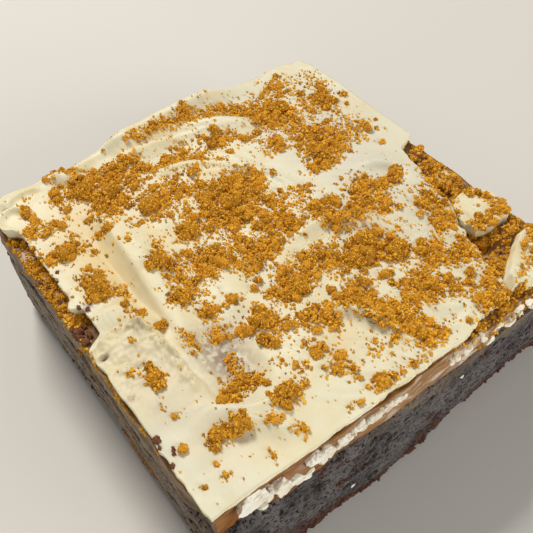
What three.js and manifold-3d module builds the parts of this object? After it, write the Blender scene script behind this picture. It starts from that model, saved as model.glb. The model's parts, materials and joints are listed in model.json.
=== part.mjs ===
// A square-cut chocolate brownie: a dark fudge base with baked-in biscuit pieces, a layer of
// caramel-coloured biscuit spread, and a swirled white chocolate top under biscuit crumbs.
// One corner of the white chocolate has broken into loose shards.
// Millimetres, +Z up. The slab rests flat on z = 0 and its centre line is x = y = 0.
import * as THREE from "three";
import { mergeVertices } from "three/addons/utils/BufferGeometryUtils.js";
import Module from "manifold-3d";

const wasm = await Module();
wasm.setup();

// The slab and its layers
const WIDTH = 70;
const DEPTH = 75;
const BASE_AT_LEFT = 15.4; // height of the fudge at the left wall
const BASE_AT_RIGHT = 19.2; // and at the right wall
const SPREAD_TOP = 22;
const TOP = 24; // mean height of the white chocolate
const CORNER_RADIUS = 5; // the two back corners
const FRONT_LEAN = 3.4; // how far the front cut leans in at its right end
const CRUMBLE = 1.5; // how far the bottom edge has crumbled back
const WALL_PIT = 0.9; // deepest pit of the cut walls
const BISCUIT_DEPTH = 0.25; // how far the biscuit pieces' cut faces lie inside them
const CAP_INSET = 3; // width of the ring between a wall and a flat cap
const SHELL_LEAST = 0.6; // thinnest the white chocolate gets
const BACK_ROLL = { width: 2.4, drop: 1.1 }; // its back edge was never cut, so it rolls over
const EDGE_GAP = 0.4; // how far its back and right edges lie in from the walls
const TOUCH_GAP = 0.3; // between pieces that touch

// Plan places below are given as [u, v], measured from the near left corner along the
// front edge and along the left edge.
const plan = (u, v) => [u - WIDTH / 2, v - DEPTH / 2];

// The shards' own corner of the top, where the shell is missing
const BREAK_LINE = [
  [54.5, -2], [57, 4], [57.6, 8], [58.6, 11], [59.6, 15], [62, 20], [62.4, 26], [64, 31], [65.5, 37], [74, 41],
];
const SHELL_SETBACK = 2.3; // ledge of spread left of the shell, for crumbs
const NOTCH_DEPTH = 3.2; // bite out of the shell's left edge

// Grid sizes
const SHELL_COLUMNS = 32;
const SHELL_ROWS = 34;
const WALL_STEPS = 28; // wall points along each side

const CRUMB_COUNT = 62;
const LEDGE_CRUMBS = 11;
const FLAKE_COUNT = 9;
const PIT_COUNT = 8;

// Seeds of the random draws and the noises
const SEED = {
  broadSwell: 3,
  fineSwell: 4,
  seam: 8,
  wall: 12,
  leftEdge: 14,
  frontEdge: 15,
  crumble: 21,
  smear: 31,
  biscuit: 40,
  spreadBits: 52,
  hollow: 61,
  chip: 71,
  pit: 90,
  ledgeCrumb: 300,
  flake: 340,
  clump: 400,
  crumb: 500,
  crumbPlace: 2024,
};

const clamp = THREE.MathUtils.clamp;
const lerp = THREE.MathUtils.lerp;
const smooth = THREE.MathUtils.smoothstep;

// Seeded random numbers from 0 to 1
function randomFrom(seed) {
  let state = seed >>> 0;
  return () => {
    state = (state + 0x6d2b79f5) >>> 0;
    let t = state;
    t = Math.imul(t ^ (t >>> 15), t | 1);
    t ^= t + Math.imul(t ^ (t >>> 7), t | 61);
    return ((t ^ (t >>> 14)) >>> 0) / 4294967296;
  };
}

// Smooth value noise from -1 to 1, with features about one unit across
function noise(x, y, seed) {
  const corner = (i, j) => randomFrom(i * 7919 + j * 104729 + seed * 1299709)() * 2 - 1;
  const i = Math.floor(x);
  const j = Math.floor(y);
  const a = smooth(x - i, 0, 1);
  const b = smooth(y - j, 0, 1);
  const [low, high] = [j, j + 1].map((row) => lerp(corner(i, row), corner(i + 1, row), a));
  return lerp(low, high, b);
}

// Bell shape with height 1 over an ellipse
const bell = (u, v, at, radii) => Math.exp(-(((u - at[0]) / radii[0]) ** 2 + ((v - at[1]) / radii[1]) ** 2));

// Swirls of the white chocolate: spatula strokes as ridges. A stroke runs through its
// three plan points. Its slope is left and right wide, seen along its run.
const STROKES = [
  { at: [[15.4, 60], [14.2, 38], [11.6, 15.5]], height: 1.5, left: 3.4, right: 0.9 }, // long straight ridge
  { at: [[3, 37.5], [9.8, 36.5], [10.6, 25]], height: 0.9, left: 1.0, right: 3.6 }, // rough lip, front left
  { at: [[11, 17], [13, 10.5], [25, 8.5]], height: 1.0, left: 1.3, right: 3.0 }, // lower lip of the scoop
  { at: [[10, 9.5], [14, 7], [18, 2]], height: 0.5, left: 1.2, right: 1.8 },
  { at: [[27, 74], [36, 75], [51, 72.5]], height: 3.1, left: 4, right: 2.4 }, // back wave
  { at: [[27, 70.5], [38, 69.5], [50, 61]], height: 1.5, left: 1.5, right: 2.2 },
  { at: [[29, 61.5], [37, 58], [42, 50]], height: 1.0, left: 1.1, right: 1.4 },
  { at: [[39, 61], [43, 51], [46.5, 39]], height: 0.7, left: 0.9, right: 1.2 },
  { at: [[0, 66], [3, 74], [11, 73.5]], height: 1.6, left: 2.2, right: 1.4 }, // curl at the back left
  { at: [[11, 74], [14.2, 73.5], [14.5, 69]], height: 1.4, left: 1.3, right: 1.4 },
  { at: [[16, 71], [23, 74], [28, 72]], height: 1.0, left: 1.6, right: 1.6 },
  { at: [[37, 31.5], [46, 31], [52, 22]], height: 1.0, left: 1.1, right: 1.8 },
  { at: [[28, 19], [36, 13.5], [38.5, 4]], height: 1.1, left: 1.8, right: 1.1 },
  { at: [[43, 10.5], [47, 6], [53, 3.5]], height: 0.7, left: 1.3, right: 1.4 },
  { at: [[54, 38], [61, 36], [62, 26]], height: 0.9, left: 2.5, right: 1.4 },
];

// Broad hollows and domes of the top: centre, radii and height
const SWELLS = [
  { at: [16, 19], radii: [4.5, 7.5], height: -1.5 }, // the scoop
  { at: [11.6, 38], radii: [2.2, 15], height: -0.8 }, // trough left of the long ridge
  { at: [55, 30], radii: [8, 8], height: 0.6 },
  { at: [20, 50], radii: [6, 9], height: 0.35 },
  { at: [33, 66], radii: [7, 3], height: -0.6 },
  { at: [30, 25], radii: [9, 5], height: -0.4 },
  { at: [62, 70], radii: [9, 8], height: -0.7 }, // low back corner
];

// Point at t of a stroke's curve, which passes its middle point halfway
function alongStroke([start, middle, end], t) {
  const weights = [(1 - t) * (1 - 2 * t), 4 * t * (1 - t), t * (2 * t - 1)];
  return [0, 1].map((n) => weights[0] * start[n] + weights[1] * middle[n] + weights[2] * end[n]);
}

const STROKE_STEPS = 14;
for (const stroke of STROKES)
  stroke.points = Array.from({ length: STROKE_STEPS + 1 }, (_, k) => alongStroke(stroke.at, k / STROKE_STEPS));

function strokeHeight({ points, height, left, right }, u, v) {
  let nearest = Infinity;
  let result = 0;
  for (let k = 0; k < STROKE_STEPS; k++) {
    const [p, q] = [points[k], points[k + 1]];
    const run = [q[0] - p[0], q[1] - p[1]];
    const along = clamp(((u - p[0]) * run[0] + (v - p[1]) * run[1]) / (run[0] ** 2 + run[1] ** 2), 0, 1);
    const off = [u - p[0] - along * run[0], v - p[1] - along * run[1]];
    const distance = Math.hypot(...off);
    if (distance >= nearest) continue;
    nearest = distance;
    const t = (k + along) / STROKE_STEPS;
    const width = run[0] * off[1] > run[1] * off[0] ? left : right;
    const ends = smooth(t, -0.02, 0.12) * smooth(1 - t, -0.02, 0.12);
    result = height * ends * Math.exp(-((distance / width) ** 2));
  }
  return result;
}

// Height of the white chocolate's surface at a plan point
function topHeight(u, v) {
  let z = TOP + 0.35 * noise(u / 9, v / 9, SEED.broadSwell) + 0.12 * noise(u / 3, v / 3, SEED.fineSwell);
  for (const stroke of STROKES) z += strokeHeight(stroke, u, v);
  for (const { at, radii, height } of SWELLS) z += height * bell(u, v, at, radii);
  z -= BACK_ROLL.drop * (1 - smooth(DEPTH - v, 0, BACK_ROLL.width));
  return Math.max(SPREAD_TOP + SHELL_LEAST, z);
}

// Moves a point of the rectangle so that the two back corners become arcs
function roundCorners(x, y, radius) {
  const cornerX = Math.sign(x) * (WIDTH / 2 - radius);
  const cornerY = DEPTH / 2 - radius;
  const a = (x - cornerX) * Math.sign(x);
  const b = y - cornerY;
  if (a <= 0 || b <= 0) return [x, y];
  const pull = Math.max(a, b) / Math.hypot(a, b);
  return [cornerX + Math.sign(x) * a * pull, cornerY + b * pull];
}

function geometryOf(points, faces) {
  const geometry = new THREE.BufferGeometry();
  geometry.setAttribute("position", new THREE.Float32BufferAttribute(points.flat(), 3));
  geometry.setIndex(faces.flat());
  return geometry;
}

function solidOf(geometry) {
  const bare = geometry.clone();
  bare.deleteAttribute("normal");
  bare.deleteAttribute("uv");
  const merged = mergeVertices(bare, 1e-4);
  return new wasm.Manifold(
    new wasm.Mesh({
      numProp: 3,
      vertProperties: new Float32Array(merged.attributes.position.array),
      triVerts: new Uint32Array(merged.index.array),
    }),
  );
}

// The largest body of a solid, without the scraps that a cut can leave
function largest(solid) {
  return solid.decompose().sort((a, b) => b.volume() - a.volume())[0];
}

function meshOf(name, solid, material) {
  const { vertProperties, triVerts } = largest(solid).getMesh();
  const geometry = new THREE.BufferGeometry();
  geometry.setAttribute("position", new THREE.BufferAttribute(new Float32Array(vertProperties), 3));
  geometry.setIndex(new THREE.BufferAttribute(new Uint32Array(triVerts), 1));
  geometry.computeVertexNormals();
  const mesh = new THREE.Mesh(geometry, material);
  mesh.name = name;
  return mesh;
}

// A closed solid from loops of equally many points, lowest first. Both ends are closed flat.
// The first band can have its quads split the other way, to lie on another solid's last band.
function loft(loops, splitFirstBandBack = false) {
  const count = loops[0].length;
  const points = loops.flat();
  const faces = [];
  for (let k = 0; k + 1 < loops.length; k++)
    for (let i = 0; i < count; i++) {
      const [a, b] = [k * count + i, k * count + ((i + 1) % count)];
      if (splitFirstBandBack && k === 0) faces.push([a, b, a + count], [b, b + count, a + count]);
      else faces.push([a, b, b + count], [a, b + count, a + count]);
    }
  const cap = (loop, first, up) => {
    const outline = loop.map(([x, y]) => new THREE.Vector2(x, y));
    for (const [a, b, c] of THREE.ShapeUtils.triangulateShape(outline, []))
      faces.push(up ? [first + a, first + b, first + c] : [first + c, first + b, first + a]);
  };
  cap(loops[0], 0, false);
  cap(loops[loops.length - 1], (loops.length - 1) * count, true);
  return geometryOf(points, faces);
}

// The slab's outline, anticlockwise from the near left corner, as points with an inward normal
const OUTLINE = [];
for (let side = 0; side < 4; side++)
  for (let i = 0; i < WALL_STEPS; i++) {
    const t = i / WALL_STEPS;
    const [u, v] = [[t, 0], [1, t], [1 - t, 1], [0, 1 - t]][side];
    const [x, y] = roundCorners((u - 0.5) * WIDTH, (v - 0.5) * DEPTH, CORNER_RADIUS);
    const inward = [-x / (WIDTH / 2), -y / (DEPTH / 2)].map((n) => Math.sign(n) * Math.abs(n) ** 8);
    const size = Math.hypot(...inward);
    OUTLINE.push({ x, y, side, along: side + t, inward: inward.map((n) => n / size) });
  }

const inset = ({ x, y, inward }, distance, z) => [x + inward[0] * distance, y + inward[1] * distance, z];

// The front cut leans in towards its right end: how far, at a height
function lean({ x, y }, z) {
  const atFront = smooth(-y, DEPTH / 2 - 4, DEPTH / 2);
  return atFront * FRONT_LEAN * smooth(x, -8, WIDTH / 2) * clamp(1 - z / SPREAD_TOP, 0, 1);
}

// Height of the fudge where it meets the spread
function seamHeight({ x, along }) {
  return lerp(BASE_AT_LEFT, BASE_AT_RIGHT, x / WIDTH + 0.5) + 0.7 * noise(along * 5, 0, SEED.seam);
}

function pitDepth({ along }, z) {
  return WALL_PIT * Math.max(0, noise(along * 11, z / 2.6, SEED.wall) - 0.15);
}

// How far the bottom edge has crumbled back: most at the bottom, none at 3.5 mm
function crumble({ along }, z) {
  return CRUMBLE * clamp(1 - z / 3.5, 0, 1) * (0.35 + 0.65 * Math.abs(noise(along * 9, z, SEED.crumble)));
}

// The seam between fudge and spread: the same two loops close both solids
const seamLoops = [
  OUTLINE.map((p) => inset(p, lean(p, seamHeight(p)), seamHeight(p))),
  OUTLINE.map((p) => inset(p, CAP_INSET + lean(p, seamHeight(p)), (BASE_AT_LEFT + BASE_AT_RIGHT) / 2)),
];

// An uneven lump about its centre: a sphere of a few faces with its points pushed in and out
function lump(radii, detail, seed, unevenness = 0.18) {
  const random = randomFrom(seed);
  const bare = new THREE.IcosahedronGeometry(1, detail);
  bare.deleteAttribute("normal");
  bare.deleteAttribute("uv");
  const geometry = mergeVertices(bare, 1e-4);
  const position = geometry.attributes.position;
  for (let i = 0; i < position.count; i++) {
    const scale = 1 + unevenness * (random() * 2 - 1);
    position.setXYZ(i, position.getX(i) * scale, position.getY(i) * scale, position.getZ(i) * scale);
  }
  geometry.rotateZ(random() * Math.PI * 2);
  return geometry.scale(...radii);
}

// Biscuit pieces that show in the cut walls: their centres on the wall, and their radii
const BISCUITS = [
  { name: "biscuit_left", at: [0, 25.5], z: 4.6, radii: [2.6, 5.2, 2.3] },
  { name: "biscuit_right_low", at: [WIDTH, 46.5], z: 6.4, radii: [2.8, 5.6, 1.9] },
  { name: "biscuit_right_high", at: [WIDTH, 22.5], z: 12.2, radii: [2.6, 3.6, 2.1] },
  { name: "biscuit_back", at: [40.6, DEPTH], z: 8.6, radii: [4.4, 2.8, 2.0] },
];

function biscuitSolid({ at, z, radii }, grow, seed) {
  const geometry = lump(radii.map((r) => r + grow), 1, seed);
  return solidOf(geometry.translate(...plan(...at), z));
}

// A block that keeps what is further inside the slab's walls than a gap
function insideWalls(gap) {
  const block = new THREE.BoxGeometry(WIDTH - 2 * gap, DEPTH - 2 * gap, 2 * TOP);
  return solidOf(block.translate(0, 0, TOP));
}

function fudgeBase() {
  const heights = [0, 1.3, 4, 7.5, 11, 14];
  const loops = heights.map((z) =>
    OUTLINE.map((p) => inset(p, lean(p, z) + crumble(p, z) + pitDepth(p, z), z)),
  );
  let solid = solidOf(loft([...loops, ...seamLoops]));
  BISCUITS.forEach((piece, i) => {
    solid = solid.subtract(biscuitSolid(piece, TOUCH_GAP, SEED.biscuit + i));
  });
  const random = randomFrom(SEED.pit);
  for (let i = 0; i < PIT_COUNT; i++) {
    const point = OUTLINE[Math.floor(random() * OUTLINE.length)];
    const size = 0.7 + 0.9 * random();
    const z = 4 + 8.5 * random();
    const pit = lump([size * 1.5, size * 1.5, size], 0, SEED.pit + i);
    solid = solid.subtract(solidOf(pit.translate(...inset(point, lean(point, z), z))));
  }
  return solid;
}

function spreadLayer() {
  const shares = [0.35, 0.72, 1]; // of the way from the seam to the top
  const loops = shares.map((share) =>
    OUTLINE.map((p) => {
      const z = lerp(seamHeight(p), SPREAD_TOP, share);
      const isLeft = smooth(-p.x, WIDTH / 2 - 12, WIDTH / 2 - 6);
      const nearCorner = isLeft * smooth(-p.y, DEPTH / 2 - 9, DEPTH / 2 - 3);
      const hollow = lerp(1.2, 0.5, smooth(share, 0.7, 1)) * nearCorner;
      const smear = 0.55 * Math.abs(noise(p.along * 13, share * 3, SEED.smear));
      return inset(p, smear + hollow, z);
    }),
  );
  const inner = OUTLINE.map((p) => inset(p, CAP_INSET + 1.5, SPREAD_TOP));
  const below = [...seamLoops].reverse();
  let solid = solidOf(loft([...below, ...loops, inner], true));

  // Hollow torn out beside the shards
  const hollow = lump([3.2, 2.2, 1.9], 1, SEED.hollow);
  solid = solid.subtract(solidOf(hollow.translate(...plan(61, 13), SPREAD_TOP + 0.4)));

  // Crumbs on the ledge left of the shell, and white flakes in the front wall
  const random = randomFrom(SEED.spreadBits);
  const reach = insideWalls(0.02);
  for (let i = 0; i < LEDGE_CRUMBS; i++) {
    const size = 0.75 + 0.2 * random();
    const v = lerp(45, 65, (i + 0.5 * random()) / LEDGE_CRUMBS);
    const crumb = lump([size, size * 1.15, size * 1.1], 0, SEED.ledgeCrumb + i, 0.1);
    crumb.translate(...plan(size + 0.12, v), SPREAD_TOP + 0.45 * size);
    solid = solid.add(solidOf(crumb).intersect(reach));
  }
  for (let i = 0; i < FLAKE_COUNT; i++) {
    const size = 0.9 + 0.7 * random();
    const flake = lump([size, 0.9, size * 0.8], 0, SEED.flake + i);
    flake.translate(...plan(11 + 2.1 * i, 0.6), SPREAD_TOP - 2.2 - random());
    solid = solid.add(solidOf(flake).intersect(reach));
  }
  return solid;
}

// How far the white chocolate's left edge lies in from the wall
function leftEdge(v) {
  const ledge = SHELL_SETBACK * smooth(v, 42, 46) * smooth(68 - v, 0, 4);
  const notch = NOTCH_DEPTH * smooth(v, 34, 36.5) * smooth(44 - v, 0, 2);
  return 0.25 + ledge + notch + 0.35 * Math.abs(noise(v / 2.2, 0, SEED.leftEdge));
}

// How far its front edge lies in. It is chipped beside the broken corner.
function frontEdge(u) {
  const chipped = 1.5 * smooth(u, 45, 50);
  return 0.15 + chipped + 0.4 * Math.abs(noise(u / 2.6, 0, SEED.frontEdge));
}

// Crumbs: drifts where they lie thick, and the largest clumps in their own places
const DRIFTS = [
  { at: [18, 65], radii: [9, 6], weight: 2.2 },
  { at: [35, 49], radii: [8, 5.5], weight: 2.2 },
  { at: [33, 38], radii: [11, 5], weight: 2.0 },
  { at: [36, 26], radii: [10, 5], weight: 1.7 },
  { at: [42, 12], radii: [6, 9], weight: 2.0 },
  { at: [53, 9], radii: [6, 6], weight: 1.6 },
  { at: [6, 62], radii: [3.5, 8], weight: 1.2 },
  { at: [40, 70], radii: [9, 4], weight: 1.6 },
  { at: [58, 56], radii: [8, 13], weight: 2.4 },
  { at: [48, 33], radii: [9, 5], weight: 1.0 },
];
const CLUMPS = [
  { at: [7.3, 44.6], size: 2.1 }, { at: [24.3, 22.3], size: 2.0 }, { at: [25, 45.3], size: 1.9 },
  { at: [17.8, 42], size: 1.7 }, { at: [18.6, 8.6], size: 2.0 }, { at: [11.2, 8.4], size: 1.9 },
  { at: [8, 9.6], size: 1.5 }, { at: [5.6, 22.9], size: 1.5 }, { at: [43.5, 22], size: 2.1 },
  { at: [46.5, 24.5], size: 2.0 }, { at: [48.6, 19.4], size: 2.0 }, { at: [31.8, 24], size: 1.9 },
  { at: [60, 33], size: 1.6 }, { at: [17, 33.5], size: 1.6 }, { at: [16, 15], size: 1.8 },
  { at: [23.6, 55], size: 2.0 }, { at: [7, 55], size: 1.8 }, { at: [35, 47], size: 2.1 },
  { at: [16, 66], size: 1.9 }, { at: [20, 63], size: 1.8 }, { at: [56, 62], size: 2.0 },
];

function crumbDensity(u, v) {
  return DRIFTS.reduce((sum, { at, radii, weight }) => sum + weight * bell(u, v, at, radii), 0.12);
}

function isNearBreak(u, v) {
  return BREAK_LINE.slice(1).some(([endU, endV], i) => {
    const [startU, startV] = BREAK_LINE[i];
    return v >= startV && v < endV && u > Math.min(startU, endU) - 2.2;
  });
}

// Small crumbs, drawn at random where the drifts are and kept apart from one another
function scatteredCrumbs() {
  const random = randomFrom(SEED.crumbPlace);
  const crumbs = [];
  for (let tries = 0; crumbs.length < CRUMB_COUNT && tries < 6000; tries++) {
    const at = [3.5 + random() * (WIDTH - 6), 2.5 + random() * (DEPTH - 5)];
    const size = 0.85 + 0.7 * random() ** 2;
    const isWanted = random() * 2.4 < crumbDensity(...at);
    const isFree = [...CLUMPS, ...crumbs].every((other) => {
      return Math.hypot(at[0] - other.at[0], at[1] - other.at[1]) > 0.8 * (size + other.size);
    });
    const isOnShell = !isNearBreak(...at) && at[0] - leftEdge(at[1]) > 2;
    if (isWanted && isFree && isOnShell) crumbs.push({ at, size });
  }
  return crumbs;
}

// A clump is two or three lumps grown together
function clumpSolid({ at, size }, seed) {
  const random = randomFrom(seed);
  const turn = random() * Math.PI;
  let solid = null;
  const parts = size > 1.8 ? 3 : 2;
  for (let k = 0; k < parts; k++) {
    const angle = turn + (k * 2 * Math.PI) / parts;
    const radius = size * (0.72 - 0.09 * k);
    const u = at[0] + 0.38 * size * Math.cos(angle);
    const v = at[1] + 0.38 * size * Math.sin(angle);
    const z = topHeight(...at) + size * (0.42 - 0.12 * k);
    const part = lump([radius * 1.12, radius, radius * 0.95], 0, seed * 3 + k, 0.16);
    const grain = solidOf(part.translate(...plan(u, v), z));
    solid = solid ? solid.add(grain) : grain;
  }
  return solid;
}

function whiteShell() {
  const columns = SHELL_COLUMNS;
  const rows = SHELL_ROWS;
  const points = [];
  for (let j = 0; j <= rows; j++)
    for (let i = 0; i <= columns; i++) {
      const u = lerp(leftEdge((j / rows) * DEPTH), WIDTH - EDGE_GAP, i / columns);
      const v = lerp(frontEdge(u), DEPTH - EDGE_GAP, j / rows);
      points.push([...roundCorners(...plan(u, v), CORNER_RADIUS + EDGE_GAP), topHeight(u, v)]);
    }
  const id = (i, j) => j * (columns + 1) + i;
  const faces = [];
  for (let j = 0; j < rows; j++)
    for (let i = 0; i < columns; i++) {
      const [a, b, c, d] = [id(i, j), id(i + 1, j), id(i + 1, j + 1), id(i, j + 1)];
      faces.push([a, b, c], [a, c, d]);
    }
  const rim = [];
  for (let i = 0; i < columns; i++) rim.push(id(i, 0));
  for (let j = 0; j < rows; j++) rim.push(id(columns, j));
  for (let i = columns; i > 0; i--) rim.push(id(i, rows));
  for (let j = rows; j > 0; j--) rim.push(id(0, j));
  const first = points.length;
  for (const k of rim) points.push([points[k][0], points[k][1], SPREAD_TOP]);
  rim.forEach((k, n) => {
    const next = (n + 1) % rim.length;
    faces.push([first + n, first + next, rim[next]], [first + n, rim[next], k]);
  });
  const outline = rim.map((k) => new THREE.Vector2(points[k][0], points[k][1]));
  for (const [a, b, c] of THREE.ShapeUtils.triangulateShape(outline, []))
    faces.push([first + c, first + b, first + a]);
  let solid = solidOf(geometryOf(points, faces));

  // The broken corner
  const shape = new THREE.Shape([...BREAK_LINE, [74, -2]].map((at) => new THREE.Vector2(...plan(...at))));
  const broken = new THREE.ExtrudeGeometry(shape, { depth: 2 * TOP, bevelEnabled: false });
  solid = largest(solid.subtract(solidOf(broken)));

  const above = new THREE.BoxGeometry(WIDTH, DEPTH, TOP).translate(0, 0, SPREAD_TOP + TOP / 2);
  const reach = insideWalls(0.05).intersect(solidOf(above));
  CLUMPS.forEach((clump, i) => {
    solid = solid.add(clumpSolid(clump, SEED.clump + i).intersect(reach));
  });
  scatteredCrumbs().forEach(({ at, size }, i) => {
    const crumb = lump([size * 1.1, size, size * 0.75], 0, SEED.crumb + i, 0.24);
    const z = topHeight(...at) + 0.1 * size;
    solid = solid.add(solidOf(crumb.translate(...plan(...at), z)).intersect(reach));
  });
  return solid;
}

// Loose shards of the broken corner, pressed into the spread: outline about the shard's own
// centre, where that lies, thickness, turn about x, y and z, and how deep the centre sits
const SHARDS = [
  {
    name: "shard_back",
    outline: [
      [-4.3, -2.2], [-2.6, -3.6], [0.4, -4], [3.2, -3.1], [4.2, -0.4],
      [3.7, 2.6], [1.4, 4.1], [-1.6, 3.4], [-3.4, 1],
    ],
    at: [65.2, 18.2],
    thickness: 2.1,
    turn: [-0.08, 0.17, 0],
    sunk: 0.1,
  },
  {
    name: "shard_front",
    outline: [
      [-5.4, -2.6], [-2.2, -3.7], [1.6, -3.9], [4.8, -3.1], [4.9, 1.8],
      [4.4, 4.3], [3, 4.2], [-0.8, 1.9], [-4.6, -0.5],
    ],
    at: [64.1, 6.2],
    thickness: 2.1,
    turn: [0.2, 0.16, 0],
    sunk: 0.2,
  },
  {
    name: "shard_small",
    outline: [[-1.7, -1.1], [0.7, -1.6], [1.8, 0.2], [0.3, 1.6], [-1.4, 1]],
    at: [66.6, 28.2],
    thickness: 1.3,
    turn: [0.16, -0.22, 0.6],
    sunk: 0.3,
  },
];
const SHARD_BEVEL = 0.25;

function shardSolid({ outline, at, thickness, turn, sunk }, grow) {
  const corners = outline.map(([u, v]) => {
    const scale = 1 + (1.5 * grow) / Math.hypot(u, v);
    return new THREE.Vector2(u * scale, v * scale);
  });
  const geometry = new THREE.ExtrudeGeometry(new THREE.Shape(corners), {
    depth: thickness + 2 * grow - 2 * SHARD_BEVEL,
    bevelThickness: SHARD_BEVEL,
    bevelSize: SHARD_BEVEL,
    bevelOffset: -SHARD_BEVEL,
    bevelSegments: 1,
  });
  geometry.translate(0, 0, SHARD_BEVEL - grow);
  geometry.applyMatrix4(new THREE.Matrix4().makeRotationFromEuler(new THREE.Euler(...turn)));
  return solidOf(geometry.translate(...plan(...at), SPREAD_TOP - sunk));
}

// A chip of white chocolate in the front wall, under the near corner
const CHIP = { radii: [2.2, 1.2, 1.5], at: [6.3, 1.3], z: 20 };

function chipSolid({ radii, at, z }, grow) {
  const geometry = lump(radii.map((r) => r + grow), 1, SEED.chip);
  return solidOf(geometry.translate(...plan(...at), z));
}

const chocolate = new THREE.MeshStandardMaterial({ color: 0x2a1a14, roughness: 0.75, metalness: 0 });
const caramel = new THREE.MeshStandardMaterial({ color: 0xa5713a, roughness: 0.45, metalness: 0 });
const whiteChocolate = new THREE.MeshStandardMaterial({ color: 0xe9dcb4, roughness: 0.4, metalness: 0 });
const biscuit = new THREE.MeshStandardMaterial({ color: 0xa9713a, roughness: 0.9, metalness: 0 });

let spread = spreadLayer().subtract(chipSolid(CHIP, TOUCH_GAP));
for (const shard of SHARDS) spread = spread.subtract(shardSolid(shard, TOUCH_GAP));

const brownie = new THREE.Group();
brownie.add(meshOf("fudge_base", fudgeBase(), chocolate));
brownie.add(meshOf("spread_layer", spread, caramel));
brownie.add(meshOf("white_shell", whiteShell(), whiteChocolate));
brownie.add(meshOf("corner_chip", chipSolid(CHIP, 0).intersect(insideWalls(0.05)), whiteChocolate));
for (const shard of SHARDS) brownie.add(meshOf(shard.name, shardSolid(shard, 0), whiteChocolate));
BISCUITS.forEach((piece, i) => {
  const solid = biscuitSolid(piece, 0, SEED.biscuit + i).intersect(insideWalls(BISCUIT_DEPTH));
  brownie.add(meshOf(piece.name, solid, biscuit));
});

export default brownie;
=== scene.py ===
"""Looks of a square-cut chocolate brownie with white chocolate and biscuit crumbs.

Shapes are worked out in millimetres in the brownie's own frame, and turned to metres
when a mesh is made. Plan places are (u, v): u runs along the front cut face from its left
end, v from the front cut face to the back.
"""

import json
import logging
import math
from dataclasses import dataclass, field
from enum import Enum
from typing import Any, Callable, Iterable, Sequence

import bpy
import numpy as np
from mathutils import Euler, Matrix, Vector

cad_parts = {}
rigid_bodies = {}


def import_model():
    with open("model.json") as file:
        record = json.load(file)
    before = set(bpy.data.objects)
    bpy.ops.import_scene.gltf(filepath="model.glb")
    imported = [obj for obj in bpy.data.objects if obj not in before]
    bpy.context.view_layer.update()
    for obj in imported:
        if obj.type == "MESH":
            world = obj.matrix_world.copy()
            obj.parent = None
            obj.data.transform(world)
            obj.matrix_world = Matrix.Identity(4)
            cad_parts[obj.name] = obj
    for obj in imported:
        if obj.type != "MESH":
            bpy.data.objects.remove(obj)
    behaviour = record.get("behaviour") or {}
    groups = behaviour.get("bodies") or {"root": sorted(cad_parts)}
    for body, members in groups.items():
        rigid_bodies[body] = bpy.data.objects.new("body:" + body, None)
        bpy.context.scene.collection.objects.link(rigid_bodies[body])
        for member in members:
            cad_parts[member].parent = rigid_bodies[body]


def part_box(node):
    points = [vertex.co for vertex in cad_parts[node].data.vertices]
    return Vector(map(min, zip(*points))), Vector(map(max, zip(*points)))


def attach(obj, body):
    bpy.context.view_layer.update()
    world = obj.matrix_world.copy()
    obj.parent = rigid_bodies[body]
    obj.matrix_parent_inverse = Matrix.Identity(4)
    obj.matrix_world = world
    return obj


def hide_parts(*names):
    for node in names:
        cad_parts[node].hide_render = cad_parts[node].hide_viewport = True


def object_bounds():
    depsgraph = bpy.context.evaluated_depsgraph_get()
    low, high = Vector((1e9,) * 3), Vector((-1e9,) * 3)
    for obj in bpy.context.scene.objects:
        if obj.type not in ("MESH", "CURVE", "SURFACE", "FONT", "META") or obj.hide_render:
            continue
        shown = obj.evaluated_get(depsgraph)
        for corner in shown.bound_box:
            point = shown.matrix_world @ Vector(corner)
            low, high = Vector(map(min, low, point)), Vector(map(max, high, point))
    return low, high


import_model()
CAD_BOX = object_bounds()

Array = np.ndarray
Colour = tuple[float, float, float, float]
Weigh = Callable[[Array, Array], Array]  # a weight over plan places

LOG = logging.getLogger("brownie")
MM = 0.001
CROP = 0.03  # what stays clear of the outer box on every side, in mm
BODY = "root"
MASK = 0xFFFFFFFF


class Slot(Enum):
    """Material slots of the part's record."""

    FUDGE = "fudge"
    SPREAD = "spread"
    WHITE = "white_chocolate"
    BISCUIT = "biscuit"


# Numbers, noise and shapes in plan


def draw(i: Array | int, j: Array | int, seed: int) -> Array:
    """A repeatable random number from 0 to 1 for each whole-number place.

    Args:
        i: Column numbers.
        j: Row numbers.
        seed: Which set of numbers to take.

    Returns:
        Numbers from 0 to 1, in the shape of i and j.
    """
    state = (np.asarray(i, np.int64) * 7919 + np.asarray(j, np.int64) * 104729 + seed * 1299709) & MASK
    state = ((state + 0x6D2B79F5) & MASK).astype(np.uint64)
    t = ((state ^ (state >> np.uint64(15))) * (state | np.uint64(1))) & np.uint64(MASK)
    mixed = ((t ^ (t >> np.uint64(7))) * (t | np.uint64(61))) & np.uint64(MASK)
    t = t ^ ((t + mixed) & np.uint64(MASK))
    return (t ^ (t >> np.uint64(14))).astype(float) / 2**32


def smooth(x: Array | float, low: float, high: float) -> Array:
    """Rises smoothly from 0 at low to 1 at high.

    Args:
        x: Where to read the step.
        low: Where it starts.
        high: Where it ends.

    Returns:
        The step's value.
    """
    t = np.clip((np.asarray(x, float) - low) / (high - low), 0, 1)
    return t * t * (3 - 2 * t)


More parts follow.
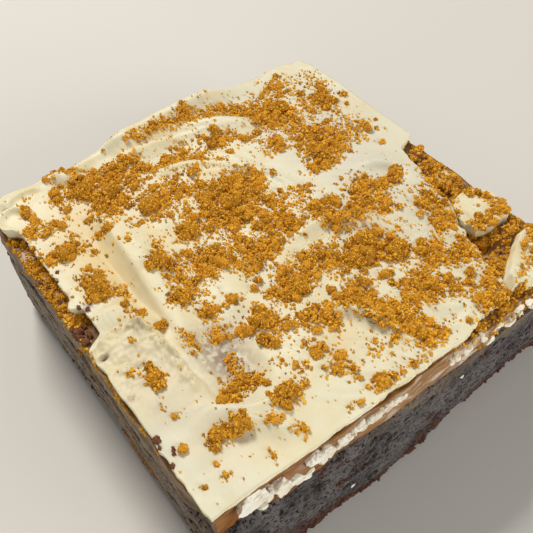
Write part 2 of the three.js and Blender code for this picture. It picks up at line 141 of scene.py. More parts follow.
def noise(x: Array, y: Array, seed: int) -> Array:
    """Smooth value noise from -1 to 1, with features about one unit across.

    Args:
        x: First coordinate, in features.
        y: Second coordinate, in features.
        seed: Which noise to take.

    Returns:
        The noise, in the shape of x and y.
    """
    x, y = np.broadcast_arrays(np.asarray(x, float), np.asarray(y, float))
    i, j = np.floor(x).astype(np.int64), np.floor(y).astype(np.int64)
    a, b = smooth(x - i, 0, 1), smooth(y - j, 0, 1)
    low = draw(i, j, seed) * (1 - a) + draw(i + 1, j, seed) * a
    high = draw(i, j + 1, seed) * (1 - a) + draw(i + 1, j + 1, seed) * a
    return (low * (1 - b) + high * b) * 2 - 1


def rough(x: Array, y: Array, seed: int, octaves: int = 3) -> Array:
    """Noise with finer noise on it, each octave half as wide and half as high.

    Args:
        x: First coordinate, in features of the widest noise.
        y: Second coordinate.
        seed: Which noise to take.
        octaves: How many noises are added.

    Returns:
        The sum, mostly from -1 to 1.
    """
    total = sum(noise(x * 2**k, y * 2**k, seed + 31 * k) / 2**k for k in range(octaves))
    return total / (2 - 2.0 ** (1 - octaves))


def bell(u: Array, v: Array, at: Sequence[float], radii: Sequence[float]) -> Array:
    """Bell of height 1 over an ellipse.

    Args:
        u: Places along the front.
        v: Places to the back.
        at: The bell's centre.
        radii: Its half widths along u and v.

    Returns:
        The bell's height.
    """
    return np.exp(-(((u - at[0]) / radii[0]) ** 2 + ((v - at[1]) / radii[1]) ** 2))


# Meshes


def mesh_object(
    name: str, points: Array, faces: Iterable[Sequence[int]], is_smooth: bool = True
) -> bpy.types.Object:
    """Makes an object from points in millimetres.

    Args:
        name: The object's name.
        points: One row of x, y and z for each point.
        faces: The points of each face, anticlockwise from outside.
        is_smooth: Whether the faces are shaded smoothly.

    Returns:
        The new object, at the origin.
    """
    mesh = bpy.data.meshes.new(name)
    mesh.from_pydata((np.asarray(points, float) * MM).tolist(), [], list(faces))
    mesh.polygons.foreach_set("use_smooth", [is_smooth] * len(mesh.polygons))
    mesh.update()
    made = bpy.data.objects.new(name, mesh)
    bpy.context.scene.collection.objects.link(made)
    return made


def set_attribute(piece: bpy.types.Object, name: str, values: Array) -> None:
    """Stores one number for each point of a mesh.

    Args:
        piece: The object whose mesh takes it.
        name: The attribute's name.
        values: A number for each point.
    """
    layer = piece.data.attributes.new(name, "FLOAT", "POINT")
    layer.data.foreach_set("value", np.asarray(values, np.float32).ravel())


def attribute_of(piece: bpy.types.Object, name: str) -> Array:
    """The numbers that a mesh's points hold under a name."""
    values = np.zeros(len(piece.data.vertices), np.float32)
    piece.data.attributes[name].data.foreach_get("value", values)
    return values.astype(float)


def points_of(piece: bpy.types.Object) -> Array:
    """The points of an object's mesh, in millimetres."""
    flat = np.zeros(len(piece.data.vertices) * 3, np.float32)
    piece.data.vertices.foreach_get("co", flat)
    return flat.reshape(-1, 3).astype(float) / MM


def set_points(piece: bpy.types.Object, points: Array) -> None:
    """Moves the points of an object's mesh to places in millimetres."""
    piece.data.vertices.foreach_set("co", (points * MM).astype(np.float32).ravel())
    piece.data.update()


def keep_in_box(piece: bpy.types.Object) -> None:
    """Presses what stands out of the part's box back into it, by a hair's breadth."""
    low = np.array(CAD_BOX[0]) / MM + CROP
    high = np.array(CAD_BOX[1]) / MM - CROP
    low[2] = 0
    set_points(piece, np.clip(points_of(piece), low, high))


@dataclass
class Heap:
    """Small meshes that are joined to one."""

    points: list[Array] = field(default_factory=list)
    faces: list[list[int]] = field(default_factory=list)
    count: int = 0

    def add(self, points: Array, faces: Iterable[Sequence[int]]) -> None:
        """Adds one mesh.

        Args:
            points: Its points, in millimetres.
            faces: The points of each of its faces.
        """
        self.points.append(points)
        self.faces += [[point + self.count for point in face] for face in faces]
        self.count += len(points)

    def joined(self, name: str, is_smooth: bool = True) -> bpy.types.Object:
        """The meshes as one object."""
        return mesh_object(name, np.concatenate(self.points), self.faces, is_smooth)


def band(lower: Array, upper: Array) -> Array:
    """Quads between two closed rings of equally many points.

    Args:
        lower: Point numbers of the lower ring, anticlockwise from above.
        upper: Point numbers of the upper ring.

    Returns:
        One row of four point numbers for each quad.
    """
    return np.stack([lower, np.roll(lower, -1), np.roll(upper, -1), upper], axis=1)


def loft(rings: Sequence[Array]) -> tuple[Array, list[list[int]]]:
    """Points and faces of a closed solid through closed rings, lowest first.

    Args:
        rings: Rings of equally many points, anticlockwise from above.

    Returns:
        The points and the faces, with a flat face at either end.
    """
    count = len(rings[0])
    faces: list[list[int]] = []
    for k in range(len(rings) - 1):
        lower = np.arange(count) + k * count
        faces += band(lower, lower + count).tolist()
    faces.append(list(range(count - 1, -1, -1)))
    last = (len(rings) - 1) * count
    faces.append(list(range(last, last + count)))
    return np.concatenate(rings), faces


def grid_faces(rows: int, columns: int) -> tuple[Array, Array]:
    """Quads of a grid of points, and its rim.

    Args:
        rows: Rows of quads.
        columns: Columns of quads.

    Returns:
        The quads, and the point numbers of the rim, anticlockwise.
    """
    ids = np.arange((rows + 1) * (columns + 1)).reshape(rows + 1, columns + 1)
    quads = np.stack([ids[:-1, :-1], ids[:-1, 1:], ids[1:, 1:], ids[1:, :-1]], axis=-1).reshape(-1, 4)
    rim = np.concatenate([ids[0, :-1], ids[:-1, -1], ids[-1, :0:-1], ids[:0:-1, 0]])
    return quads, rim


# Sizes of the slab


@dataclass(frozen=True)
class Outline:
    """Points round the slab in plan, anticlockwise from the near left corner."""

    x: Array
    y: Array
    along: Array  # side number plus the share of that side
    inward_x: Array
    inward_y: Array

    def ring(self, inset: Array | float, z: Array | float) -> Array:
        """A ring of points, moved inwards.

        Args:
            inset: How far in from the walls.
            z: The ring's height.

        Returns:
            One row of x, y and z for each point.
        """
        x = self.x + self.inward_x * inset
        y = self.y + self.inward_y * inset
        return np.stack([x, y, np.broadcast_to(z, x.shape)], axis=1)

    def run(self, width: float, depth: float) -> Array:
        """Length along the walls to each point, in millimetres."""
        starts = np.array([0, width, width + depth, 2 * width + depth])
        lengths = np.array([width, depth, width, depth])
        side = np.minimum(self.along.astype(int), 3)
        return starts[side] + (self.along - side) * lengths[side]


@dataclass(frozen=True)
class Slab:
    """Sizes of the brownie's layers and edges."""

    width: float
    depth: float
    base_left: float = 15.4
    base_right: float = 19.2
    spread_top: float = 22.0
    top: float = 24.0
    corner_radius: float = 5.0
    front_lean: float = 3.4
    cap_inset: float = 3.0
    edge_gap: float = 0.4

    @classmethod
    def from_frame(cls) -> "Slab":
        """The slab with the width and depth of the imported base."""
        low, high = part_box("fudge_base")
        return cls(width=(high.x - low.x) / MM, depth=(high.y - low.y) / MM)

    def plan(self, u: Array | float, v: Array | float) -> tuple[Any, Any]:
        """The x and y of a plan place."""
        return u - self.width / 2, v - self.depth / 2

    def round_corners(self, x: Array, y: Array, radius: float) -> tuple[Array, Array]:
        """Moves points of the rectangle so that its two back corners become arcs.

        Args:
            x: Places along the width.
            y: Places along the depth.
            radius: The arcs' radius.

        Returns:
            The moved x and y.
        """
        side = np.sign(x)
        corner_x, corner_y = side * (self.width / 2 - radius), self.depth / 2 - radius
        a, b = (x - corner_x) * side, y - corner_y
        inside = (a > 0) & (b > 0)
        pull = np.where(inside, np.maximum(a, b) / np.maximum(np.hypot(a, b), 1e-9), 1)
        return np.where(inside, corner_x + side * a * pull, x), np.where(inside, corner_y + b * pull, y)

    def outline(self, steps: int) -> Outline:
        """The slab's outline.

        Args:
            steps: Points along each of the four sides.

        Returns:
            The outline.
        """
        t = np.arange(steps) / steps
        zero, one = np.zeros(steps), np.ones(steps)
        u = np.concatenate([t, one, 1 - t, zero])
        v = np.concatenate([zero, t, one, 1 - t])
        x, y = (u - 0.5) * self.width, (v - 0.5) * self.depth
        x, y = self.round_corners(x, y, self.corner_radius)
        a, b = -x / (self.width / 2), -y / (self.depth / 2)
        a, b = np.sign(a) * np.abs(a) ** 8, np.sign(b) * np.abs(b) ** 8
        size = np.hypot(a, b)
        return Outline(x, y, np.arange(4 * steps) / steps, a / size, b / size)

    def lean(self, outline: Outline, z: Array) -> Array:
        """How far the front cut leans in towards its right end, at a height."""
        at_front = smooth(-outline.y, self.depth / 2 - 4, self.depth / 2)
        to_right = smooth(outline.x, -8, self.width / 2)
        return at_front * to_right * self.front_lean * np.clip(1 - z / self.spread_top, 0, 1)

    def seam(self, outline: Outline) -> Array:
        """Height of the fudge where it meets the spread."""
        share = outline.x / self.width + 0.5
        level = self.base_left + (self.base_right - self.base_left) * share
        return level + 0.7 * noise(outline.along * 5, 0, 8)


# Finishes


def linear(code: str, alpha: float = 1.0) -> Colour:
    """Turns an sRGB hex colour to linear light.

    Args:
        code: Six hex digits.
        alpha: The colour's opacity.

    Returns:
        Red, green, blue and alpha.
    """
    parts = [int(code[k : k + 2], 16) / 255 for k in (0, 2, 4)]
    red, green, blue = (c / 12.92 if c <= 0.04045 else ((c + 0.055) / 1.055) ** 2.4 for c in parts)
    return red, green, blue, alpha


def add_node(
    tree: bpy.types.NodeTree, kind: str, inputs: dict[Any, Any] | None = None, **settings: Any
) -> Any:
    """Adds a node with its settings and links.

    Args:
        tree: The tree that takes the node.
        kind: The node's type name.
        inputs: Values or linked sockets by input name or number.
        settings: Properties of the node itself.

    Returns:
        The new node.
    """
    made = tree.nodes.new(kind)
    for name, value in settings.items():
        setattr(made, name, value)
    for key, value in (inputs or {}).items():
        if isinstance(value, bpy.types.NodeSocket):
            tree.links.new(value, made.inputs[key])
        else:
            made.inputs[key].default_value = value
    return made


MIX_A, MIX_B, MIX_OUT = 6, 7, 2  # the colour sockets of a Mix node


def stored(tree: Any, name: str) -> Any:
    """The number that a mesh's points hold under a name."""
    return add_node(tree, "ShaderNodeAttribute", attribute_name=name).outputs["Fac"]


def speckle(tree: Any, place: Any, size: float, detail: float, roughness: float = 0.5) -> Any:
    """A noise texture's value.

    Args:
        tree: The material's tree.
        place: The socket with the place on the object.
        size: Size of its features, in millimetres.
        detail: How many finer noises are added.
        roughness: How strong those are.

    Returns:
        The value's socket.
    """
    inputs = {"Vector": place, "Scale": 1 / (size * MM), "Detail": detail, "Roughness": roughness}
    return add_node(tree, "ShaderNodeTexNoise", inputs).outputs[0]


def remap(tree: Any, value: Any, low: float, high: float, least: float = 0.0, most: float = 1.0) -> Any:
    """Stretches a value.

    Args:
        tree: The material's tree.
        value: The value's socket.
        low: What becomes least.
        high: What becomes most.
        least: Where the result starts.
        most: Where it ends.

    Returns:
        The result's socket.
    """
    inputs = {"Value": value, "From Min": low, "From Max": high, "To Min": least, "To Max": most}
    return add_node(tree, "ShaderNodeMapRange", inputs).outputs[0]


def combine(tree: Any, operation: str, *values: Any) -> Any:
    """The result of a sum with numbers and sockets."""
    return add_node(tree, "ShaderNodeMath", dict(enumerate(values)), operation=operation).outputs[0]


def mix(tree: Any, share: Any, under: Any, over: Any) -> Any:
    """One colour laid over another, by a share."""
    inputs = {0: share, MIX_A: under, MIX_B: over}
    return add_node(tree, "ShaderNodeMix", inputs, data_type="RGBA").outputs[MIX_OUT]


def bumps(tree: Any, height: Any, strength: float, depth: float) -> Any:
    """The normal of a surface with bumps of a depth in millimetres."""
    inputs = {"Height": height, "Strength": strength, "Distance": depth * MM}
    return add_node(tree, "ShaderNodeBump", inputs).outputs[0]


@dataclass(frozen=True)
class Finish:
    """What every finish shares: a name, a material and its parts."""

    name: str = "finish"

    def start(self) -> tuple[bpy.types.Material, Any, Any]:
        """A new material.

        Returns:
            The material, its tree, and the socket with the place on the object.
        """
        material = bpy.data.materials.new(self.name)
        material.use_nodes = True
        tree = material.node_tree
        tree.nodes.clear()
        place = add_node(tree, "ShaderNodeTexCoord").outputs["Object"]
        return material, tree, place

    def close(self, tree: Any, inputs: dict[str, Any]) -> None:
        """Adds the shader and the output.

        Args:
            tree: The material's tree.
            inputs: The shader's values and links.
        """
        shader = add_node(tree, "ShaderNodeBsdfPrincipled", inputs)
        add_node(tree, "ShaderNodeOutputMaterial", {"Surface": shader.outputs[0]})


@dataclass(frozen=True)
class FudgeFinish(Finish):
    """Baked chocolate fudge cake, cut with a knife.

    The blade presses the crumb to a tight face with a bluish grey, waxy sheen and tiny open pores. The grey
    of that sheen is painted into the face's dark brown colour, and shade is painted into the pores.
    Where it tore, the crumb is matt and redder, and fat from the spread leaves a brown film.
    """

    name: str = "baked_fudge_cut_face"
    # The knife-cut face's two greys: dark brown fudge with its waxy sheen painted in as grey.
    pressed_with_painted_sheen: str = "736e6c"
    dark: str = "454040"
    # Near black of the pores and pits: the dark crumb with painted shade.
    pore_shade: str = "200d07"
    torn: str = "57301f"
    film: str = "8e7351"
    gold: str = "bd8c40"
    pore_size: float = 0.62  # mm
    pore_flatness: float = 1.9
    pore_edges: tuple[float, float] = (0.48, 0.40)
    pore_depth: float = 1.1  # mm
    closing: float = 0.14  # how far the film closes the pores
    mottle: float = 5.0  # mm
    waxy: float = 0.44  # roughness of the pressed face
    matt: float = 0.95  # roughness of pores and torn crumb
    sheen: float = 0.6

    def material(self) -> bpy.types.Material:
        """Builds the material."""
        material, tree, place = self.start()
        flat = add_node(tree, "ShaderNodeMapping", {"Vector": place, "Scale": (1, 1, self.pore_flatness)})
        pores = speckle(tree, flat.outputs[0], self.pore_size, 2.5, 0.6)
        share = remap(tree, speckle(tree, place, self.mottle, 4.0), 0.38, 0.62)
        torn, smear = stored(tree, "torn"), stored(tree, "smear")
        # Mottled greys of the knife-cut face: painted sheen over the dark brown.
        colour = mix(tree, share, linear(self.dark), linear(self.pressed_with_painted_sheen))
        colour = mix(tree, torn, colour, linear(self.torn))
        colour = mix(tree, smear, colour, linear(self.film))
        colour = mix(tree, stored(tree, "gold"), colour, linear(self.gold))
        closed = combine(tree, "MULTIPLY_ADD", smear, self.closing, pores)
        # Pores and pits are coloured near black: painted shade over the dark crumb.
        hollow = combine(tree, "MAXIMUM", remap(tree, closed, *self.pore_edges), stored(tree, "pit_shade"))
        colour = mix(tree, hollow, colour, linear(self.pore_shade))
        dull = combine(tree, "MAXIMUM", hollow, torn)
        self.close(
            tree,
            {
                "Base Color": colour,
                "Roughness": remap(tree, dull, 0, 1, self.waxy, self.matt),
                "Normal": bumps(tree, closed, 1.0, self.pore_depth),
                "Specular IOR Level": self.sheen,
            },
        )
        return material


@dataclass(frozen=True)
class SpreadFinish(Finish):
    """Biscuit spread, a soft tan paste of ground biscuit in fat.

    It is a glossy caramel brown where it is thick, tan and streaky where the knife smeared
    it, and a grey film of it and fudge, thinly spread, lies where the knife pushed hardest; that grey is
    partly the fudge's waxy sheen, painted in.
    """

    name: str = "smeared_biscuit_spread"
    tan: str = "93734d"
    caramel: str = "74410f"
    biscuit: str = "9a6620"
    # Grey of the fudge film: partly the fudge's waxy sheen, painted in.
    film: str = "5f5654"
    pale: str = "dccfba"
    drab: str = "78634a"
    gold: str = "c4933c"
    streak: float = 2.6  # mm
    grain: float = 0.35  # mm
    roughness: float = 0.42
    depth_of_light: float = 0.6  # mm

    def material(self) -> bpy.types.Material:
        """Builds the material."""
        material, tree, place = self.start()
        share = remap(tree, speckle(tree, place, self.streak, 5.0, 0.6), 0.36, 0.64, 0.0, 0.75)
        colour = mix(tree, stored(tree, "caramel"), linear(self.tan), linear(self.caramel))
        colour = mix(tree, share, colour, linear(self.biscuit))
        tints = {"pale": self.pale, "film": self.film, "drab": self.drab, "gold": self.gold}
        for name, tint in tints.items():
            colour = mix(tree, stored(tree, name), colour, linear(tint))
        self.close(
            tree,
            {
                "Base Color": colour,
                "Roughness": self.roughness,
                "Normal": bumps(tree, speckle(tree, place, self.grain, 2.0), 0.4, 0.08),
                "Subsurface Weight": 0.1,
                "Subsurface Radius": (1.0, 0.5, 0.2),
                "Subsurface Scale": self.depth_of_light * MM,
            },
        )
        return material


@dataclass(frozen=True)
class WhiteFinish(Finish):
    """White chocolate, swirled with a spatula and set.

    It is satin and a little see-through, so that it goes yellower where it is spread thinly. Its colour also
    holds painted warm shade in low places, painted grey and lilac shade in the hollow right of the plate and
    down the right side, and a painted pale sheen on the plate.
    """

    name: str = "set_white_chocolate"
    cream: str = "ece7ca"
    warm: str = "e8dbb0"
    # Yellower where it is spread thinly, with painted warm shade in low places.
    thin_and_warm_shade: str = "dfc27e"
    # Painted grey shade and painted pale sheen.
    shade_and_sheen: str = "dcd8c6"
    # Real lilac brown stains, and painted lilac shade in the hollow right of the plate.
    stain_and_shade: str = "8a675a"
    under: str = "8a5c24"
    cloud: float = 6.0  # mm
    ripple: float = 0.6  # mm
    roughness: float = 0.5
    sheen: float = 0.35
    depth_of_light: float = 0.7  # mm

    def material(self) -> bpy.types.Material:
        """Builds the material."""
        material, tree, place = self.start()
        share = remap(tree, speckle(tree, place, self.cloud, 3.0), 0.42, 0.66, 0.0, 0.7)
        colour = mix(tree, share, linear(self.cream), linear(self.warm))
        tints = {"thin_and_warm_shade": self.thin_and_warm_shade, "shade_and_sheen": self.shade_and_sheen, "stain_and_shade": self.stain_and_shade, "under": self.under}
        for name, tint in tints.items():
            colour = mix(tree, stored(tree, name), colour, linear(tint))
        self.close(
            tree,
            {
                "Base Color": colour,
                "Roughness": self.roughness,
                "Specular IOR Level": self.sheen,
                "Normal": bumps(tree, speckle(tree, place, self.ripple, 3.0), 0.3, 0.05),
                "Subsurface Weight": 0.2,
                "Subsurface Radius": (1.0, 0.75, 0.4),
                "Subsurface Scale": self.depth_of_light * MM,
            },
        )
        return material


@dataclass(frozen=True)
class CrumbFinish(Finish):
    """Crushed caramelised biscuit: open, dry crumb with darker toasted grains."""

    name: str = "crushed_caramel_biscuit"
    light: str = "ffc53c"
    deep: str = "9c5e05"
    grain: float = 0.3  # mm
    spread: tuple[float, float] = (0.36, 0.88)
    roughness: float = 0.8
    sheen: float = 0.25

    def material(self) -> bpy.types.Material:
        """Builds the material."""
        material, tree, place = self.start()
        fine = speckle(tree, place, self.grain, 3.0, 0.7)
        tone = combine(tree, "MULTIPLY_ADD", stored(tree, "tone"), 0.5, fine)
        share = remap(tree, tone, *self.spread)
        self.close(
            tree,
            {
                "Base Color": mix(tree, share, linear(self.deep), linear(self.light)),
                "Roughness": self.roughness,
                "Normal": bumps(tree, fine, 0.9, 0.2),
                "Specular IOR Level": self.sheen,
            },
        )
        return material


@dataclass(frozen=True)
class FloorFinish(Finish):
    """Plain pale matt board under the brownie."""

    name: str = "pale_board"
    board: str = "d9d6d1"
    roughness: float = 0.7

    def material(self) -> bpy.types.Material:
        """Builds the material."""
        material, tree, _ = self.start()
        self.close(tree, {"Base Color": linear(self.board), "Roughness": self.roughness})
        return material


def dress(piece: bpy.types.Object, material: bpy.types.Material, slot: Slot, *nodes: str) -> bpy.types.Object:
    """Gives a finished piece its material and body, and hides the nodes that it stands for.

    Args:
        piece: The finished object.
        material: Its material.
        slot: The record's slot that the finish belongs to; not used.
        nodes: CAD nodes that it replaces.

    Returns:
        The same object.
    """
    keep_in_box(piece)
    if not piece.data.materials:
        piece.data.materials.append(material)
    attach(piece, BODY)
    if nodes:
        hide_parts(*nodes)
    LOG.info("%s: %d faces", piece.name, len(piece.data.polygons))
    return piece


# The fudge base


@dataclass
class FudgeBase:
    """The dark base with its cut walls, pits, torn patches and crumbled bottom edge."""

    slab: Slab
    steps: int = 290
    rows: int = 60
    crumble: float = 1.5
    wall_pit: float = 0.9
    small_pits: int = 900
    large_pits: int = 120

    def torn(self, run: Array, z: Array) -> Array:
        """How torn and crumbly the wall is, from 0 to 1."""
        bottom = 1 - smooth(z, 1.6, 7.0 + 4.0 * noise(run / 5, 0, 201))
        patches = smooth(rough(run / 3, z / 1.8, 202), 0.3, 0.55)
        return np.clip(bottom * (0.9 + 0.7 * rough(run / 2.2, z / 1.3, 203)) + 0.8 * patches, 0, 1)

    def pits(self, run: Array, z: Array) -> Array:
        """Depth of the pits that open pores and torn crumbs leave."""
        slab, wanted = self.slab, []
        length = 2 * (slab.width + slab.depth)
        for count, low, high, seed in ((self.small_pits, 0.2, 0.42, 301), (self.large_pits, 0.42, 0.85, 305)):
            for k in range(count):
                a, b, c = (float(draw(k, n, seed)) for n in range(3))
                wanted.append((a * length, 1 + b * (slab.base_right - 3), low + (high - low) * c * c))
        # The deepest in the front cut face.
        wanted += [(24.9, 9.1, 1.0), (27.0, 9.8, 0.6), (30.6, 12.1, 0.7)]
        wanted += [(38.5, 14.2, 0.75), (17.5, 5.0, 0.8), (46.0, 8.5, 0.7)]
        depth = np.zeros_like(z)
        for number, (r, h, s) in enumerate(wanted):
            near = np.abs(run[0] - r) < 4 * s
            if not near.any():
                continue
            a = (run[:, near] - r) / (1.8 * s)
            b = (z[:, near] - h - 0.15 * (run[:, near] - r)) / (0.8 * s)
            uneven = noise(run[:, near] / (0.6 * s), z[:, near] / (0.6 * s), 310 + number)
            edge = np.hypot(a, b) + 0.4 * uneven
            depth[:, near] = np.maximum(depth[:, near], 0.95 * s * (1 - smooth(edge, 0.5, 1.0)))
        return depth

    def build(self, material: bpy.types.Material) -> bpy.types.Object:
        """Builds the base.

        Args:
            material: The fudge's material.

        Returns:
            The finished piece.
        """
        slab, outline = self.slab, self.slab.outline(self.steps)
        run_line = outline.run(slab.width, slab.depth)
        seam = slab.seam(outline)
        share = np.linspace(0, 1, self.rows + 1)[:, None]
        z = share * seam[None, :]
        run = np.broadcast_to(run_line, z.shape)
        torn = self.torn(run, z)
        drag = Drag(slab)
        inset = slab.lean(outline, z)
        edge = self.crumble * np.clip(1 - z / 3.5, 0, 1)
        inset = inset + edge * (0.35 + 0.65 * np.abs(noise(outline.along * 9, z, 21)))
        inset = inset + self.wall_pit * np.maximum(0, noise(outline.along * 11, z / 2.6, 12) - 0.15)
        pits = self.pits(run, z)
        inset = inset + pits
        inset = inset + torn * (0.35 + 0.8 * rough(run / 1.5, z / 1.1, 211, 4))
        cut = 1 - 0.8 * drag.on_left(run)
        inset = inset + cut * 0.2 * np.maximum(0, rough(run / 1.1, z / 0.8, 215, 3)) + drag.grooves(run, z)
        pocket = BiscuitPieces(slab).pocket(outline, z)
        inset = np.maximum(inset, 0.02) + 1.1 * pocket
        rings = [outline.ring(inset[k], z[k]) for k in range(self.rows + 1)]
        rings.append(outline.ring(slab.cap_inset + inset[-1], (slab.base_left + slab.base_right) / 2))
        points, faces = loft(rings)
        piece = mesh_object("fudge_cake", points, faces)
        tail = np.zeros(len(outline.x))
        layers = {
            "torn": torn,
            "smear": self.smear(run, z, seam),
            "gold": drag.gold(run, z),
            # Painted shade in the deeper pits.
            "pit_shade": 0.95 * smooth(pits, 0.04, 0.2),
        }
        for name, values in layers.items():
            set_attribute(piece, name, np.concatenate([values.ravel(), tail]))
        return dress(piece, material, Slot.FUDGE, "fudge_base")

    def smear(self, run: Array, z: Array, seam: Array) -> Array:
        """How thickly the knife dragged a film of spread over the cut face, from 0 to 1."""
        below = seam[None, :] - z
        reach = 2.2 + 2.2 * noise(run / 2.3, 0, 221) + 1.2 * noise(run / 0.8, 0, 222)
        middle = bell(run, 0 * run, (52, 0), (15, 1)) + 0.8 * bell(run, 0 * run, (33, 0), (5, 1))
        streaks = 0.5 + 0.7 * rough(run / 3 + below, below / 0.6, 223, 3)
        dragged = middle * (1 - smooth(below, reach * 0.4, reach + 1.2)) * (0.5 + streaks)
        return np.clip(0.6 * dragged + 0.85 * Drag(self.slab).film(run, z), 0, 1)


@dataclass
class Drag:
    """Slanting marks that the knife left down the left cut face, and its film of fat."""

    slab: Slab
    slope: float = 0.95  # radians below the level

    def across(self, run: Array, z: Array) -> tuple[Array, Array]:
        """Places across and along the marks, in millimetres."""
        v = 2 * (self.slab.width + self.slab.depth) - run
        sine, cosine = math.sin(self.slope), math.cos(self.slope)
        return v * sine - z * cosine, v * cosine + z * sine

    def on_left(self, run: Array) -> Array:
        """1 on the left cut face, 0 elsewhere."""
        start = 2 * self.slab.width + self.slab.depth
        end = start + self.slab.depth
        return smooth(run, start + 1, start + 4) * (1 - smooth(run, end - 1.5, end))

    def grooves(self, run: Array, z: Array) -> Array:
        """Depth of the marks."""
        across, along = self.across(run, z)
        fine = 0.16 * rough(across / 1.1, along / 7, 231, 4)
        return self.on_left(run) * (fine + 0.2 * rough(across / 3, along / 14, 232, 2))

    def film(self, run: Array, z: Array) -> Array:
        """How thickly the film lies, from 0 to 1."""
        across, along = self.across(run, z)
        start = 2 * self.slab.width + self.slab.depth
        near_front = smooth(run, start + self.slab.depth - 22, start + self.slab.depth - 4)
        body = 0.75 + 0.35 * rough(across / 1.0, along / 10, 235, 3)
        return self.on_left(run) * np.clip(body * (1 - 0.6 * near_front), 0, 1)

    def gold(self, run: Array, z: Array) -> Array:
        """Where caramel was drawn down in streaks, from 0 to 1."""
        across, along = self.across(run, z)
        streaks = smooth(rough(across / 0.7, along / 6, 237, 3), 0.02, 0.5)
        streaks = streaks * smooth(noise(across / 4, along / 6, 238), -0.4, 0.4)
        return 0.6 * self.on_left(run) * streaks


@dataclass(frozen=True)
class Biscuit:
    """One biscuit piece in a cut wall: its node, centre in plan, height and radii."""

    node: str
    at: tuple[float, float]
    z: float
    radii: tuple[float, float, float]


@dataclass
class BiscuitPieces:
    """Biscuit baked into the fudge, where the cuts lay it open."""

    slab: Slab

    def all(self) -> list[Biscuit]:
        """The pieces that show in the walls."""
        width, depth = self.slab.width, self.slab.depth
        return [
            Biscuit("biscuit_left", (0, 25.5), 4.6, (2.6, 5.2, 2.3)),
            Biscuit("biscuit_right_low", (width, 46.5), 6.4, (2.8, 5.6, 1.9)),
            Biscuit("biscuit_right_high", (width, 22.5), 12.2, (2.6, 3.6, 2.1)),
            Biscuit("biscuit_back", (40.6, depth), 8.6, (4.4, 2.8, 2.0)),
        ]

    def pocket(self, outline: Outline, z: Array) -> Array:
        """Where the walls give way to the biscuit, from 0 to 1."""
        total = np.zeros_like(z)
        for piece in self.all():
            x, y = self.slab.plan(*piece.at)
            reach = [r + 0.25 for r in piece.radii]
            far = ((outline.x - x) / reach[0]) ** 2 + ((outline.y - y) / reach[1]) ** 2
            rim = np.sqrt(far[None, :] + ((z - piece.z) / reach[2]) ** 2)
            wobble = 0.2 * noise(outline.x * 0.9 + outline.y * 0.9, z / 1.1, 231)
            total = np.maximum(total, 1 - smooth(rim + wobble, 0.86, 1.0))
        return total

    def build(self, material: bpy.types.Material) -> list[bpy.types.Object]:
        """Builds each piece as a crumbly lump, cut off just inside its wall."""
        made = []
        for number, piece in enumerate(self.all()):
            points, faces = crumb_ball(4, 240 + number, 0.34, 40)
            points = points * np.array(piece.radii)
            x, y = self.slab.plan(*piece.at)
            points = points + np.array([x, y, piece.z])
            grain = 0.42 * rough((points[:, 0] + points[:, 1]) * 1.3, points[:, 2] * 1.3, 245, 3)
            limit_x, limit_y = self.slab.width / 2 - 0.3, self.slab.depth / 2 - 0.3
            points[:, 0] = np.clip(points[:, 0], -limit_x + grain, limit_x - grain)
            points[:, 1] = np.clip(points[:, 1], -limit_y + grain, limit_y - grain)
            lump = mesh_object("baked_" + piece.node, points, faces)
            set_attribute(lump, "tone", 0.15 + 0.5 * draw(np.arange(len(points)), 0, 247))
            made.append(dress(lump, material, Slot.BISCUIT, piece.node))
        return made


def icosphere(level: int) -> tuple[Array, list[list[int]]]:
    """A unit icosphere.

    Args:
        level: 0 for an octahedron, 1 for the icosahedron, and one more for each time its
            triangles are split.

    Returns:
        Its points and triangles.
    """
    if level == 0:
        corners = np.array([[1, 0, 0], [-1, 0, 0], [0, 1, 0], [0, -1, 0], [0, 0, 1], [0, 0, -1]], float)
        above = [[0, 2, 4], [2, 1, 4], [1, 3, 4], [3, 0, 4]]
        below = [[2, 0, 5], [1, 2, 5], [3, 1, 5], [0, 3, 5]]
        return corners, above + below
    golden = (1 + math.sqrt(5)) / 2
    points = [[-1, golden, 0], [1, golden, 0], [-1, -golden, 0], [1, -golden, 0]]
    points += [[0, -1, golden], [0, 1, golden], [0, -1, -golden], [0, 1, -golden]]
    points += [[golden, 0, -1], [golden, 0, 1], [-golden, 0, -1], [-golden, 0, 1]]
    faces = [[0, 11, 5], [0, 5, 1], [0, 1, 7], [0, 7, 10], [0, 10, 11]]
    faces += [[1, 5, 9], [5, 11, 4], [11, 10, 2], [10, 7, 6], [7, 1, 8]]
    faces += [[3, 9, 4], [3, 4, 2], [3, 2, 6], [3, 6, 8], [3, 8, 9]]
    faces += [[4, 9, 5], [2, 4, 11], [6, 2, 10], [8, 6, 7], [9, 8, 1]]
    for _ in range(level - 1):
        middles: dict[tuple[int, int], int] = {}
        split = []
        for a, b, c in faces:
            corners = []
            for p, q in ((a, b), (b, c), (c, a)):
                key = (min(p, q), max(p, q))
                if key not in middles:
                    middles[key] = len(points)
                    points.append([(points[p][n] + points[q][n]) / 2 for n in range(3)])
                corners.append(middles[key])
            ab, bc, ca = corners
            split += [[a, ab, ca], [b, bc, ab], [c, ca, bc], [ab, bc, ca]]
        faces = split
    array = np.array(points, float)
    return array / np.linalg.norm(array, axis=1)[:, None], faces


ICOSPHERES = {level: icosphere(level) for level in range(5)}


def directions(count: int, seed: int) -> Array:
    """Random unit vectors, one a row."""
    number = np.arange(count)
    turn, height = draw(number, 0, seed) * math.tau, draw(number, 1, seed) * 2 - 1
    flat = np.sqrt(1 - height**2)
    return np.stack([flat * np.cos(turn), flat * np.sin(turn), height], axis=1)


